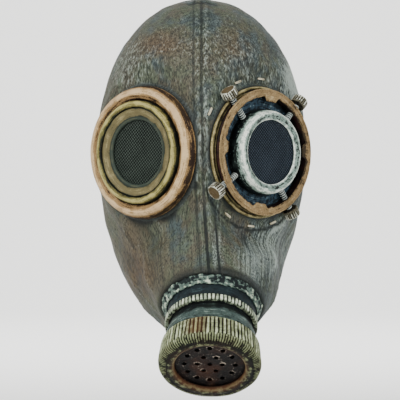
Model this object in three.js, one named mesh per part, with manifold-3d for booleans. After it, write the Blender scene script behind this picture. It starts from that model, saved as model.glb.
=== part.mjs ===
// A gas mask style costume mask: a latex hood with two round eyes and a filter canister.
// Lengths are millimetres. The face looks along -Y, +X is the viewer's right and +Z is up.
// The mask is drawn about eye level, then set down so that the inside of the crown, where it
// sits on a head, is the origin.

import * as THREE from "three";
import { mergeVertices } from "three/addons/utils/BufferGeometryUtils.js";
import Module from "manifold-3d";

const wasm = await Module();
wasm.setup();

// Hood: the half width at eye level, and how the width rounds off above and below it
const HALF_WIDTH = 94;
const WIDEST_Z = 2;
const CROWN_RISE = 136;
const CROWN_POWER = 2.12;
const JAW_DROP = 172;
const JAW_POWER = 2;
const HOOD_WALL = 2.3;
const BODY_FLOOR = -169;
const BACK_POWER = 2.05;

// Hood sections, a row for each height: depth of face and back from the ears, how square the
// face is in plan (2 is an ellipse, less is a wedge), how far the snout leans to one side and
// how wide the nose ridge between the eyes is at each side
const HOOD_SECTIONS = [
  { z: 138, front: 104, back: 104, power: 2.0, sway: 0, ridge: 5 },
  { z: 60, front: 104, back: 106, power: 1.8, sway: 0, ridge: 5 },
  { z: 2, front: 106, back: 105, power: 1.5, sway: 1, ridge: 5 },
  { z: -40, front: 109, back: 99, power: 1.45, sway: 2, ridge: 6 },
  { z: -75, front: 113, back: 91, power: 1.45, sway: 4, ridge: 22 },
  { z: -90, front: 120, back: 87, power: 1.6, sway: 5.3, ridge: 34 },
  { z: -105, front: 131, back: 84, power: 1.8, sway: 6.7, ridge: 45 },
  { z: -134, front: 130, back: 80, power: 2.7, sway: 9, ridge: 45 },
  { z: -169, front: 120, back: 80, power: 3.0, sway: 10, ridge: 45 },
];
const SWAY_STARTS = 20;
const SWAY_FULL = 80;

// Seam strip from the crown to the snout: height above the hood at a distance from its middle
const SEAM_STRIP = [
  { off: 0, raise: 0.2 },
  { off: 3.4, raise: 1.1 },
  { off: 6.5, raise: 0 },
];
const SEAM_NARROWS_BELOW = 45;

// Lower edge of the hood, a plane that rises from the chin to the nape
const RIM = { chinY: -66, chinZ: -165.5, slope: 0.62 };

// Eyes: each stands on a round boss in a level moat; heights are along the eye's own axis
const PLAIN_EYE = { side: -1, yaw: 38.5, x: -49.5, y: -70, z: -2 };
const SCREW_EYE = { side: 1, yaw: 42, x: 49.5, y: -70, z: -2 };
const MOAT = {
  level: -3.6, raiseFlat: 60, raiseFade: 80, cutFlat: 70, cutFade: 92, shallow: 16, deep: 34,
};
const BOSS_RADIUS = 58.5;
const EYE_HOLE = 30;
const FLANGE = { radius: 66, height: -3.2 };

// Valve: the snout is a short cone that ends in a level pad, which faces forwards and down
const VALVE = { x: 9, y: -98, z: -134, dip: 48, lean: -2 };
const SNOUT = { front: 45, back: 37, depth: 38 };
const VALVE_HOLE = 33;

// Gap that touching pieces keep, and the sides of round pieces
const GAP = 0.3;
const RING_SIDES = 28;

// Thumb screws of the screwed eye, by angle round it from the viewer's right
const SCREW_ANGLES = [45, 128, 212, 304];
const SCREW = { radius: 2.9, core: 2.2, height: 5.2, from: 37.2, threadTo: 48, to: 59, threads: 4 };
const KNOB = { radius: 7.2, notch: 0.7, from: 59.3, to: 67.4, ribs: 12 };
const SCREW_SIDES = 8;

// Staples on the flange of the screwed eye, by angle
const STAPLE_ANGLES = [85, 110, 148, 238, 264, 288];
const STAPLE = { length: 8, width: 1.7, height: 1.5, at: 64.6 };

// Profiles of the round pieces, closed rows of radius and height above what they stand on
const PLAIN_RIM = [
  { r: 45.6, h: 0.3 },
  { r: 58, h: 0.3 },
  { r: 58, h: 3 },
  { r: 56.6, h: 7.2 },
  { r: 54, h: 10 },
  { r: 50.5, h: 11.2 },
  { r: 47.2, h: 9.8 },
  { r: 45.6, h: 7.6 },
];
const PLAIN_RING = [
  { r: 38.9, h: 0.3 },
  { r: 45.3, h: 0.3 },
  { r: 45.3, h: 10.6 },
  { r: 43.6, h: 13.8 },
  { r: 41.2, h: 15 },
  { r: 38.9, h: 14 },
];
const PLAIN_DISH = [
  { r: 34.5, h: 0.3 },
  { r: 38.6, h: 0.3 },
  { r: 38.6, h: 13 },
  { r: 32.4, h: 10.6 },
  { r: 29.8, h: 11.2 },
  { r: 28, h: 10.2 },
  { r: 28, h: 8.6 },
  { r: 34.5, h: 8.6 },
];
const PLAIN_SCREEN = { radius: 34.2, from: 7, to: 8.3 };
const SCREW_BASE = [
  { r: 52.5, h: 0.3 },
  { r: 57.5, h: 0.3 },
  { r: 57.5, h: 2.4 },
  { r: 56.4, h: 3.2 },
  { r: 52.5, h: 3.2 },
];
const SCREW_WALL = [
  { r: 48.4, h: 0.3 },
  { r: 52.2, h: 0.3 },
  { r: 52.2, h: 8.8 },
  { r: 48.4, h: 8.8 },
];
const SCREW_WELL = [
  { r: 37.1, h: 0.3 },
  { r: 48.1, h: 0.3 },
  { r: 48.1, h: 1.3 },
  { r: 37.1, h: 1.3 },
];
const LENS_RING = [
  { r: 31.6, h: 0.3 },
  { r: 36.8, h: 0.3 },
  { r: 36.8, h: 11 },
  { r: 35.6, h: 16 },
  { r: 33, h: 18.6 },
  { r: 30, h: 18.4 },
  { r: 28, h: 16.6 },
  { r: 28, h: 15.2 },
  { r: 31.6, h: 15.2 },
];
const SCREW_SCREEN = { radius: 31.3, from: 13.6, to: 14.9 };

// Torn copper plate: its outline, and the tabs that stand in from its inner edge, by angle
const PLATE = { outer: 55, inner: 48.4, from: 9.1, to: 10.4, tear: 0.5, steps: 48 };
const PLATE_TABS = [
  { at: 2, half: 8, reach: 3.6 },
  { at: 82, half: 9, reach: 3.8 },
  { at: 175, half: 7, reach: 3.2 },
  { at: 262, half: 9, reach: 3.4 },
];

const VALVE_BODY = [
  { r: 33.5, h: 0.3 },
  { r: 37.8, h: 0.3 },
  { r: 37.8, h: 18.3 },
  { r: 35.4, h: 18.3 },
  { r: 35.4, h: 24.6 },
  { r: 33.5, h: 24.6 },
];
const COLLAR = { inner: 38.1, foot: 42, top: 39.4, edge: 8, ragged: 1.3, lump: 0.6 };
const NUT = { inner: 35.7, radius: 39.6, notch: 0.9, from: 18.6, to: 24.6, ribs: 44 };
const FILTER_NECK = [
  { r: 31, h: 24.9 },
  { r: 35.2, h: 24.9 },
  { r: 35.2, h: 28.6 },
  { r: 36.9, h: 29.4 },
  { r: 40.2, h: 44.4 },
  { r: 31, h: 44.4 },
];

// Filter drum: rows of its ribbed outside and its bore, front edge last
const DRUM_RIBS = 50;
const DRUM_OUTSIDE = [
  { r: 41.6, h: 44.7, notch: 1 },
  { r: 43.6, h: 62.5, notch: 1 },
  { r: 42.4, h: 66.4, notch: 0.6 },
  { r: 36.6, h: 68.6, notch: 0 },
];
const DRUM_BORE = [
  { r: 36.5, h: 43 },
  { r: 38.5, h: 48 },
  { r: 38.5, h: 58.5 },
  { r: 34, h: 61 },
  { r: 34, h: 64 },
  { r: 29.6, h: 64 },
  { r: 29.6, h: 70 },
];
const GRILLE = { radius: 33.7, from: 62.2, to: 63.7, hole: 2.1, sides: 6 };
const GRILLE_RINGS = [
  { radius: 0, holes: 1 },
  { radius: 10.5, holes: 6 },
  { radius: 21.5, holes: 12 },
];

const DEGREE = Math.PI / 180;

// A value of a table's column at height z, on a smooth curve through the rows
function sectionValue(column, z) {
  const rows = HOOD_SECTIONS;
  let i = rows.findIndex((row) => row.z <= z);
  i = THREE.MathUtils.clamp(i < 0 ? rows.length - 1 : i, 1, rows.length - 1);
  const slope = (k) => {
    const before = rows[Math.max(k - 1, 0)];
    const after = rows[Math.min(k + 1, rows.length - 1)];
    return (after[column] - before[column]) / (after.z - before.z);
  };
  const [upper, lower] = [rows[i - 1], rows[i]];
  const span = lower.z - upper.z;
  const t = THREE.MathUtils.clamp((z - upper.z) / span, 0, 1);
  const rise = 3 * t ** 2 - 2 * t ** 3;
  const leaving = t * (1 - t) ** 2 * span * slope(i - 1);
  const arriving = t ** 2 * (1 - t) * span * slope(i);
  return upper[column] + (lower[column] - upper[column]) * rise + leaving - arriving;
}

function smooth(from, to, value) {
  return THREE.MathUtils.smoothstep(value, from, to);
}

// Share of the full width at height z
function roundOff(z) {
  const above = z > WIDEST_Z;
  const power = above ? CROWN_POWER : JAW_POWER;
  const share = Math.min(1, Math.abs(z - WIDEST_Z) / (above ? CROWN_RISE : JAW_DROP));
  return (1 - share ** power) ** (1 / power);
}

// Height of a level of the hood: 0 is the crown, 1 the widest section and 2 the floor
function levelHeight(level) {
  if (level <= 1) {
    return WIDEST_Z + CROWN_RISE * Math.cos(level * 90 * DEGREE) ** (2 / CROWN_POWER);
  }
  return WIDEST_Z + (BODY_FLOOR - WIDEST_Z) * (level - 1);
}

// Place and axes of an eye: right and up lie in its plane and out is its axis
function eyeFrame(eye) {
  const yaw = eye.yaw * DEGREE;
  const out = new THREE.Vector3(eye.side * Math.sin(yaw), -Math.cos(yaw), 0);
  const up = new THREE.Vector3(0, 0, 1);
  const right = new THREE.Vector3().crossVectors(up, out);
  return { origin: new THREE.Vector3(eye.x, eye.y, eye.z), right, up, out };
}

function valveFrame() {
  const dip = VALVE.dip * DEGREE;
  const lean = VALVE.lean * DEGREE;
  const out = new THREE.Vector3(
    Math.sin(lean),
    -Math.cos(dip) * Math.cos(lean),
    -Math.sin(dip) * Math.cos(lean),
  );
  const right = new THREE.Vector3(1, 0, 0).addScaledVector(out, -out.x).normalize();
  const up = new THREE.Vector3().crossVectors(out, right);
  return { origin: new THREE.Vector3(VALVE.x, VALVE.y, VALVE.z), right, up, out };
}

const PLAIN_FRAME = eyeFrame(PLAIN_EYE);
const SCREW_FRAME = eyeFrame(SCREW_EYE);
const VALVE_FRAME = valveFrame();

// Moves a point of the hood to the level moat of an eye. Low ground is raised and high ground
// is cut, each fading out at its own distance, and deep ground stays.
function levelled(point, frame, share) {
  const offset = point.clone().sub(frame.origin);
  const height = offset.dot(frame.out);
  const distance = offset.addScaledVector(frame.out, -height).length();
  const high = height > MOAT.level;
  const [flat, fade] = high ? [MOAT.cutFlat, MOAT.cutFade] : [MOAT.raiseFlat, MOAT.raiseFade];
  const near = 1 - smooth(flat, fade, distance);
  const shallow = 1 - smooth(MOAT.shallow, MOAT.deep, -height);
  point.addScaledVector(frame.out, (MOAT.level - height) * share * near * shallow);
}

// A point of the hood by angle from the middle of the face and by level
function hoodPoint(angle, level) {
  const z = levelHeight(level);
  const width = HALF_WIDTH * roundOff(z);
  const dome = z > WIDEST_Z ? roundOff(z) : 1;
  const front = sectionValue("front", z) * dome;
  const back = sectionValue("back", z) * dome;
  const [cosine, sine] = [Math.cos(angle), Math.sin(angle)];
  const power = cosine > 0 ? sectionValue("power", z) : BACK_POWER;
  const depth = cosine > 0 ? front : back;
  const sway = sectionValue("sway", z);
  const y = -depth * Math.sign(cosine) * Math.abs(cosine) ** (2 / power);
  const lean = sway * smooth(SWAY_STARTS, SWAY_FULL, -y);
  const x = width * Math.sign(sine) * Math.abs(sine) ** (2 / power) + lean;
  const point = new THREE.Vector3(x, y, z);
  for (const [frame, side] of [[PLAIN_FRAME, -1], [SCREW_FRAME, 1]]) {
    const share = smooth(0, sectionValue("ridge", z), side * (x - sway));
    levelled(point, frame, share);
  }
  return point;
}

// Outward direction of the hood at an angle and level, from its neighbours
function hoodNormal(angle, level) {
  const step = 0.01;
  const top = Math.max(level, 2 * step);
  const along = hoodPoint(angle + step, top).sub(hoodPoint(angle - step, top));
  const down = hoodPoint(angle, Math.min(top + step, 2)).sub(hoodPoint(angle, top - step));
  return down.cross(along).normalize();
}

// Angle at which a level stands a given distance to the side of the seam
function seamAngle(off, level) {
  const z = levelHeight(level);
  const width = Math.max(HALF_WIDTH * roundOff(z), 1);
  const reach = Math.abs(off) * Math.min(1, width / SEAM_NARROWS_BELOW);
  const power = sectionValue("power", z);
  return Math.sign(off) * Math.asin((reach / width) ** (power / 2));
}

// Keeps only the corners and faces of a closed shape, with its faces turned outwards
function welded(geometry) {
  geometry.deleteAttribute("normal");
  geometry.deleteAttribute("uv");
  const merged = mergeVertices(geometry, 1e-4);
  const position = merged.attributes.position;
  const corner = (k) => new THREE.Vector3().fromBufferAttribute(position, k);
  const faces = [];
  let volume = 0;
  for (let i = 0; i < merged.index.count; i += 3) {
    const [a, b, c] = [0, 1, 2].map((k) => merged.index.getX(i + k));
    if (a !== b && b !== c && c !== a) {
      faces.push([a, b, c]);
      volume += corner(a).dot(corner(b).cross(corner(c)));
    }
  }
  const outward = volume > 0 ? faces : faces.map(([a, b, c]) => [a, c, b]);
  merged.setIndex(outward.flat());
  return merged;
}

function toSolid(geometry, matrix = new THREE.Matrix4()) {
  const shape = welded(geometry.clone().applyMatrix4(matrix));
  const vertProperties = new Float32Array(shape.attributes.position.array);
  const triVerts = new Uint32Array(shape.index.array);
  return new wasm.Manifold(new wasm.Mesh({ numProp: 3, vertProperties, triVerts }));
}

function toGeometry(solid) {
  const { numProp, vertProperties, triVerts } = solid.getMesh();
  const geometry = new THREE.BufferGeometry();
  geometry.setAttribute("position", new THREE.BufferAttribute(vertProperties, numProp));
  geometry.setIndex(new THREE.BufferAttribute(triVerts, 1));
  return geometry;
}

// A closed profile spun about the Z axis
function spun(profile, sides = RING_SIDES) {
  const points = profile.map(({ r, h }) => new THREE.Vector2(r, h));
  points.push(points[0].clone());
  return welded(new THREE.LatheGeometry(points, sides).rotateX(90 * DEGREE));
}

// A round cone on the Z axis between two heights, and a rod or disc
function cone(frontRadius, backRadius, from, to, sides = RING_SIDES) {
  const tapered = new THREE.CylinderGeometry(frontRadius, backRadius, to - from, sides);
  return welded(tapered.rotateX(90 * DEGREE).translate(0, 0, (from + to) / 2));
}

function rod(radius, from, to, sides) {
  return cone(radius, radius, from, to, sides);
}

// A closed skin over rows of points; end points close the first and the last row
function skin(rows, first, last) {
  const count = rows[0].length;
  const corners = [first, ...rows.flat(), last];
  const index = [];
  for (let k = 0; k < count; k += 1) {
    const next = (k + 1) % count;
    index.push(0, 1 + k, 1 + next);
    for (let row = 0; row + 1 < rows.length; row += 1) {
      const [a, b] = [1 + row * count + k, 1 + row * count + next];
      index.push(a, a + count, b, b, a + count, b + count);
    }
    const edge = 1 + (rows.length - 1) * count;
    index.push(edge + k, corners.length - 1, edge + next);
  }
  const geometry = new THREE.BufferGeometry().setFromPoints(corners);
  geometry.setIndex(index);
  return welded(geometry);
}

// A ribbed shape about the Z axis: each row has a radius, a height and the depth of its ribs
function ribbed(rows, ribs) {
  const rings = rows.map(({ r, h, notch }) => {
    const ring = [];
    for (let k = 0; k < 2 * ribs; k += 1) {
      const angle = (k * 180 * DEGREE) / ribs;
      const radius = k % 2 ? r - notch : r;
      ring.push(new THREE.Vector3(radius * Math.cos(angle), radius * Math.sin(angle), h));
    }
    return ring;
  });
  const middle = (row) => new THREE.Vector3(0, 0, row.h);
  return skin(rings, middle(rows[0]), middle(rows[rows.length - 1]));
}

function matrixOf(frame) {
  const matrix = new THREE.Matrix4().makeBasis(frame.right, frame.up, frame.out);
  return matrix.setPosition(frame.origin);
}

// The hood's outer or inner form as a closed body, before any opening is cut
function hoodBody(angles, seamOffsets, levels, offset) {
  const raiseAt = (off) => SEAM_STRIP.find((row) => row.off === Math.abs(off)).raise;
  const rows = levels.map((level) => {
    const columns = seamOffsets.map((off) => [seamAngle(off, level), offset + raiseAt(off)]);
    for (const angle of angles) {
      columns.push([angle * DEGREE, offset]);
    }
    return columns.map(([angle, reach]) =>
      hoodPoint(angle, level).addScaledVector(hoodNormal(angle, level), reach));
  });
  const crown = new THREE.Vector3(0, 0, WIDEST_Z + CROWN_RISE + offset);
  const lastRow = rows[rows.length - 1];
  const floor = new THREE.Vector3(0, (lastRow[0].y + lastRow[lastRow.length >> 1].y) / 2, lastRow[0].z);
  return skin(rows, crown, floor);
}

function hoodLevels(domeRows, faceRows) {
  const dome = Array.from({ length: domeRows }, (_, k) => (k + 1) / domeRows);
  const face = Array.from({ length: faceRows }, (_, k) => 1 + (k + 1) / faceRows);
  return [...dome, ...face];
}

// Angles round the hood, evenly from one side of the seam round the back to the other
function hoodAngles(first, count) {
  return Array.from({ length: count }, (_, k) => first + ((360 - 2 * first) * k) / (count - 1));
}

// The hood with its snout as a filled body, drawn in by the thickness of a wall
function filledHood(angles, seamOffsets, levels, wall) {
  const valve = matrixOf(VALVE_FRAME);
  const body = toSolid(hoodBody(angles, seamOffsets, levels, -wall));
  const snout = cone(SNOUT.front - wall, SNOUT.back - wall, -SNOUT.depth, -wall);
  const beyond = new THREE.BoxGeometry(400, 400, 200).translate(0, 0, 100 - wall);
  return body.subtract(toSolid(beyond, valve)).add(toSolid(snout, valve));
}

// Hood: a latex bag with bosses for the eyes, a hole at each eye and valve, and an open neck
function hood() {
  const offsets = SEAM_STRIP.map((row) => row.off);
  const seamOffsets = [...offsets.slice(1).reverse().map((off) => -off), ...offsets];
  const angles = hoodAngles(16, 35);
  const levels = hoodLevels(9, 16);
  const inner = filledHood([0, ...angles], [], levels, HOOD_WALL);
  let solid = filledHood(angles, seamOffsets, levels, 0);
  for (const frame of [PLAIN_FRAME, SCREW_FRAME]) {
    solid = solid.add(toSolid(rod(BOSS_RADIUS, -8, 0), matrixOf(frame)));
  }
  solid = solid.add(toSolid(rod(FLANGE.radius, -7, FLANGE.height), matrixOf(SCREW_FRAME)));
  solid = solid.subtract(inner);
  for (const frame of [PLAIN_FRAME, SCREW_FRAME]) {
    solid = solid.subtract(toSolid(rod(EYE_HOLE, -20, 5), matrixOf(frame)));
  }
  solid = solid.subtract(toSolid(rod(VALVE_HOLE, -15, 5), matrixOf(VALVE_FRAME)));
  const below = new THREE.BoxGeometry(400, 600, 200).translate(0, 0, -100);
  const tilt = new THREE.Matrix4().makeRotationX(Math.atan(RIM.slope));
  tilt.setPosition(0, RIM.chinY, RIM.chinZ);
  return toGeometry(solid.subtract(toSolid(below, tilt)));
}

// A piece of the screwed eye with the four screw holes bored through it
function boredForScrews(profile) {
  let solid = toSolid(spun(profile));
  const bore = SCREW.radius + GAP;
  for (const angle of SCREW_ANGLES) {
    const hole = rod(bore, SCREW.from, SCREW.to, SCREW_SIDES);
    solid = solid.subtract(toSolid(hole, radialMatrix(angle)));
  }
  return toGeometry(solid);
}

// Turns the Z axis to point outwards at an angle round the eye, at the screws' height
function radialMatrix(angle) {
  const matrix = new THREE.Matrix4().makeRotationZ(angle * DEGREE);
  matrix.multiply(new THREE.Matrix4().makeRotationY(90 * DEGREE));
  return matrix.setPosition(0, 0, SCREW.height);
}

// Threaded rod of a thumb screw, thread first and plain shank after
function screwRod() {
  const pitch = (SCREW.threadTo - SCREW.from) / SCREW.threads;
  const profile = [new THREE.Vector2(0, SCREW.from)];
  for (let turn = 0; turn < SCREW.threads; turn += 1) {
    const start = SCREW.from + turn * pitch;
    profile.push(new THREE.Vector2(SCREW.core, start));
    profile.push(new THREE.Vector2(SCREW.radius, start + pitch / 2));
  }
  profile.push(new THREE.Vector2(SCREW.core, SCREW.threadTo));
  profile.push(new THREE.Vector2(SCREW.core, SCREW.to));
  profile.push(new THREE.Vector2(0, SCREW.to));
  return welded(new THREE.LatheGeometry(profile, SCREW_SIDES).rotateX(90 * DEGREE));
}

// Knurled knob on the outer end of a thumb screw
function screwKnob() {
  const bevel = 0.9;
  const rows = [
    { r: KNOB.radius, h: KNOB.from, notch: KNOB.notch },
    { r: KNOB.radius, h: KNOB.to - bevel, notch: KNOB.notch },
    { r: KNOB.radius - bevel, h: KNOB.to, notch: 0 },
  ];
  return ribbed(rows, KNOB.ribs);
}

// Wire staple lying along the edge of the flange, with its two bent ends
function staple() {
  const half = STAPLE.length / 2;
  const outline = new THREE.Shape();
  outline.moveTo(-half, 0);
  outline.lineTo(half, 0);
  outline.lineTo(half - STAPLE.width / 2, STAPLE.height);
  outline.lineTo(-half + STAPLE.width / 2, STAPLE.height);
  const bar = new THREE.ExtrudeGeometry(outline, { depth: STAPLE.width, bevelEnabled: false });
  bar.rotateX(90 * DEGREE).translate(0, STAPLE.width / 2, FLANGE.height + GAP);
  return welded(bar);
}

// Torn copper plate with small tabs along its inner edge
function tornPlate() {
  const outline = new THREE.Shape().absarc(0, 0, PLATE.outer, 0, 360 * DEGREE);
  const points = [];
  for (let k = 0; k < PLATE.steps; k += 1) {
    const angle = (360 * k) / PLATE.steps;
    let radius = PLATE.inner + PLATE.tear * Math.sin(2.1 * k) * Math.cos(0.7 * k);
    for (const tab of PLATE_TABS) {
      const away = Math.abs(((angle - tab.at + 540) % 360) - 180);
      radius -= tab.reach * (1 - smooth(tab.half * 0.5, tab.half * 1.3, away));
    }
    const turn = angle * DEGREE;
    points.push(new THREE.Vector2(radius * Math.cos(turn), radius * Math.sin(turn)));
  }
  outline.holes.push(new THREE.Path(points));
  const depth = PLATE.to - PLATE.from;
  const options = { depth, bevelEnabled: false, curveSegments: RING_SIDES };
  return welded(new THREE.ExtrudeGeometry(outline, options).translate(0, 0, PLATE.from));
}

// Ragged wrap round the foot of the valve: lumpy outside and a torn front edge
function raggedCollar() {
  const rows = [];
  for (let k = 0; k < RING_SIDES; k += 1) {
    const turn = (k * 360 * DEGREE) / RING_SIDES;
    const lump = COLLAR.lump * Math.sin(3.3 * k) * Math.cos(1.3 * k);
    const edge = COLLAR.edge + COLLAR.ragged * Math.sin(1.9 * k + 1) * Math.cos(0.6 * k);
    const section = [
      [COLLAR.inner, GAP],
      [COLLAR.foot + lump, GAP],
      [(COLLAR.foot + COLLAR.top) / 2 + lump, edge / 2],
      [COLLAR.top, edge],
      [COLLAR.inner, edge],
    ];
    rows.push(section.map(([r, h]) =>
      new THREE.Vector3(r * Math.cos(turn), r * Math.sin(turn), h)));
  }
  return ringSkin(rows);
}

// A closed tube-like skin over sections that run round in a ring
function ringSkin(rows) {
  const size = rows[0].length;
  const index = [];
  for (let row = 0; row < rows.length; row += 1) {
    const nextRow = (row + 1) % rows.length;
    for (let k = 0; k < size; k += 1) {
      const nextK = (k + 1) % size;
      const [a, b] = [row * size + k, row * size + nextK];
      const [c, d] = [nextRow * size + k, nextRow * size + nextK];
      index.push(a, c, b, b, c, d);
    }
  }
  const geometry = new THREE.BufferGeometry().setFromPoints(rows.flat());
  geometry.setIndex(index);
  return welded(geometry);
}

// Knurled nut that clamps the filter to the valve
function valveNut() {
  const rows = [
    { r: NUT.radius, h: NUT.from, notch: NUT.notch },
    { r: NUT.radius, h: NUT.to, notch: NUT.notch },
  ];
  const bore = rod(NUT.inner, NUT.from - 1, NUT.to + 1);
  return toGeometry(toSolid(ribbed(rows, NUT.ribs)).subtract(toSolid(bore)));
}

// Ribbed filter drum, open at the back, with a lip in front that the grille stands behind
function filterDrum() {
  const outside = toSolid(ribbed(DRUM_OUTSIDE, DRUM_RIBS));
  const [first, last] = [DRUM_BORE[0], DRUM_BORE[DRUM_BORE.length - 1]];
  const bore = spun([{ r: 0, h: first.h }, ...DRUM_BORE, { r: 0, h: last.h }]);
  return toGeometry(outside.subtract(toSolid(bore)));
}

// Round grille plate with rings of breathing holes
function filterGrille() {
  let solid = toSolid(rod(GRILLE.radius, GRILLE.from, GRILLE.to));
  for (const ring of GRILLE_RINGS) {
    for (let k = 0; k < ring.holes; k += 1) {
      const turn = (k * 360 * DEGREE) / ring.holes;
      const hole = rod(GRILLE.hole, GRILLE.from - 1, GRILLE.to + 1, GRILLE.sides);
      hole.translate(ring.radius * Math.cos(turn), ring.radius * Math.sin(turn), 0);
      solid = solid.subtract(toSolid(hole));
    }
  }
  return toGeometry(solid);
}

function finish(color, roughness, metalness) {
  return new THREE.MeshStandardMaterial({ color, roughness, metalness, flatShading: true });
}

function piece(name, geometry, color, roughness, metalness) {
  const mesh = new THREE.Mesh(geometry, finish(color, roughness, metalness));
  mesh.name = name;
  return mesh;
}

function placed(frame, ...pieces) {
  const group = new THREE.Group();
  group.position.copy(frame.origin);
  group.quaternion.setFromRotationMatrix(matrixOf(frame));
  group.add(...pieces);
  return group;
}

// Plain eye: moulded rim, inner ring and dish round a dark screen
function plainEye() {
  const screen = rod(PLAIN_SCREEN.radius, PLAIN_SCREEN.from, PLAIN_SCREEN.to);
  return placed(
    PLAIN_FRAME,
    piece("plain_eye_rim", spun(PLAIN_RIM), 0xbbad93, 0.6, 0),
    piece("plain_eye_ring", spun(PLAIN_RING), 0x7c704e, 0.6, 0),
    piece("plain_eye_dish", spun(PLAIN_DISH), 0x726c57, 0.6, 0),
    piece("plain_eye_screen", screen, 0x333b36, 0.9, 0),
  );
}

// Screwed eye: base, wall, torn plate and well round a lens ring held by four thumb screws
function screwEye() {
  const screen = rod(SCREW_SCREEN.radius, SCREW_SCREEN.from, SCREW_SCREEN.to);
  const eye = placed(
    SCREW_FRAME,
    piece("screw_eye_base", boredForScrews(SCREW_BASE), 0x6e6a55, 0.6, 0.2),
    piece("screw_eye_wall", boredForScrews(SCREW_WALL), 0x3a2c24, 0.6, 0.2),
    piece("screw_eye_plate", tornPlate(), 0xa99c7b, 0.5, 0.4),
    piece("screw_eye_well", spun(SCREW_WELL), 0x4e5e5b, 0.5, 0.2),
    piece("screw_eye_lens_ring", spun(LENS_RING), 0xb7c6b6, 0.4, 0.5),
    piece("screw_eye_screen", screen, 0x273038, 0.9, 0),
  );
  SCREW_ANGLES.forEach((angle, k) => {
    const rodPiece = piece(`screw_eye_screw_${k + 1}`, screwRod(), 0x9aa39a, 0.4, 0.7);
    const knob = piece(`screw_eye_knob_${k + 1}`, screwKnob(), 0x8c9084, 0.5, 0.6);
    const screw = new THREE.Group();
    screw.applyMatrix4(radialMatrix(angle));
    screw.add(rodPiece, knob);
    eye.add(screw);
  });
  STAPLE_ANGLES.forEach((angle, k) => {
    const bar = piece(`screw_eye_staple_${k + 1}`, staple(), 0xb0a890, 0.5, 0.5);
    bar.position.set(STAPLE.at * Math.cos(angle * DEGREE), STAPLE.at * Math.sin(angle * DEGREE), 0);
    bar.rotation.z = (angle - 90) * DEGREE;
    eye.add(bar);
  });
  return eye;
}

// Valve and filter canister, one after the other along the valve's axis
function canister() {
  return placed(
    VALVE_FRAME,
    piece("valve_collar", raggedCollar(), 0x7f8a78, 0.8, 0),
    piece("valve_body", spun(VALVE_BODY), 0x2e3436, 0.6, 0),
    piece("valve_nut", valveNut(), 0xa9b39f, 0.5, 0.3),
    piece("filter_neck", spun(FILTER_NECK), 0x505e56, 0.6, 0),
    piece("filter_drum", filterDrum(), 0x7b7e66, 0.6, 0.1),
    piece("filter_grille", filterGrille(), 0x29231d, 0.6, 0.4),
  );
}

const mask = new THREE.Group();
mask.add(piece("hood", hood(), 0x6a6e63, 0.7, 0), plainEye(), screwEye(), canister());
mask.position.z = HOOD_WALL - WIDEST_Z - CROWN_RISE;

export default mask;
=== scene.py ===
"""Looks of the gas mask style costume mask: a dry-brushed latex hood, two eyes and a canister.

Sizes are millimetres until a mesh is finished, and then metres in the frame of the solids.
"""

import logging
import math
from contextlib import contextmanager
from dataclasses import dataclass
from enum import Enum
from typing import Callable, Iterator, NamedTuple, Optional

import bmesh
import bpy
import numpy as np
from mathutils import Matrix, Vector, noise


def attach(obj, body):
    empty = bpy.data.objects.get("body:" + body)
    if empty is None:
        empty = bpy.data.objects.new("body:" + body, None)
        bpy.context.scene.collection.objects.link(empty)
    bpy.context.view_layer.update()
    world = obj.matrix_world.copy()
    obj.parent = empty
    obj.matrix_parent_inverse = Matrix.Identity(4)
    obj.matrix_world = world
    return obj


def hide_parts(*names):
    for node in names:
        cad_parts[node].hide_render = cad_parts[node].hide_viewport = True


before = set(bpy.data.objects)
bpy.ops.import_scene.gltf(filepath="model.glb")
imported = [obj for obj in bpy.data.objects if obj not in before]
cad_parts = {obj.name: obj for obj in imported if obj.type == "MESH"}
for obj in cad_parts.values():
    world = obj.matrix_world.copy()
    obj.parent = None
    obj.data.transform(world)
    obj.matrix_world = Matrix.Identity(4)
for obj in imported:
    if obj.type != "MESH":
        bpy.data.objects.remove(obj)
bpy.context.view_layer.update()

MM = 0.001
CROWN_DROP = 135.7
ROOT = "root"
log = logging.getLogger("mask")

# A shape function takes the angle, radius, height and tone of every corner of a turned piece
# and gives back its new radius, height and tone
Shape = Callable[[np.ndarray, np.ndarray, np.ndarray, np.ndarray], tuple]


class Row(NamedTuple):
    """A corner of a turned section: radius, height, tone from 0 dark to 1 pale, and tint. The tone
    carries the dry-brush paint together with painted shade in hollows and painted highlight on raised
    edges.
    """

    r: float
    h: float
    tone: float = 0.5
    tint: float = 0.0


def linear(colour: int) -> tuple:
    """Turns an sRGB hex colour to a linear one.

    Args:
        colour: the colour as 0xRRGGBB.

    Returns:
        Linear red, green, blue and an alpha of 1.
    """
    shares = [((colour >> shift) & 255) / 255 for shift in (16, 8, 0)]
    return tuple(s / 12.92 if s <= 0.04045 else ((s + 0.055) / 1.055) ** 2.4 for s in shares) + (1,)


def smooth(low: float, high: float, value: np.ndarray) -> np.ndarray:
    """Rises smoothly from 0 to 1 as value goes from low to high."""
    share = np.clip((value - low) / (high - low), 0, 1)
    return share * share * (3 - 2 * share)


def add(tree: bpy.types.NodeTree, kind: str, inputs: Optional[dict] = None, **settings):
    """Adds a node to a material.

    Args:
        tree: the material's node tree.
        kind: the node's type.
        inputs: a value or a socket for each input, by name or number.
        settings: properties of the node.

    Returns:
        The new node.
    """
    node = tree.nodes.new(kind)
    for name, value in settings.items():
        setattr(node, name, value)
    for key, value in (inputs or {}).items():
        if isinstance(value, bpy.types.NodeSocket):
            tree.links.new(value, node.inputs[key])
        else:
            node.inputs[key].default_value = value
    return node


def started(name: str) -> tuple:
    """Starts a material and gives it, its tree, its shader and its Object coordinates."""
    material = bpy.data.materials.new(name)
    material.use_nodes = True
    tree = material.node_tree
    place = add(tree, "ShaderNodeTexCoord").outputs["Object"]
    return material, tree, tree.nodes["Principled BSDF"], place


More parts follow.
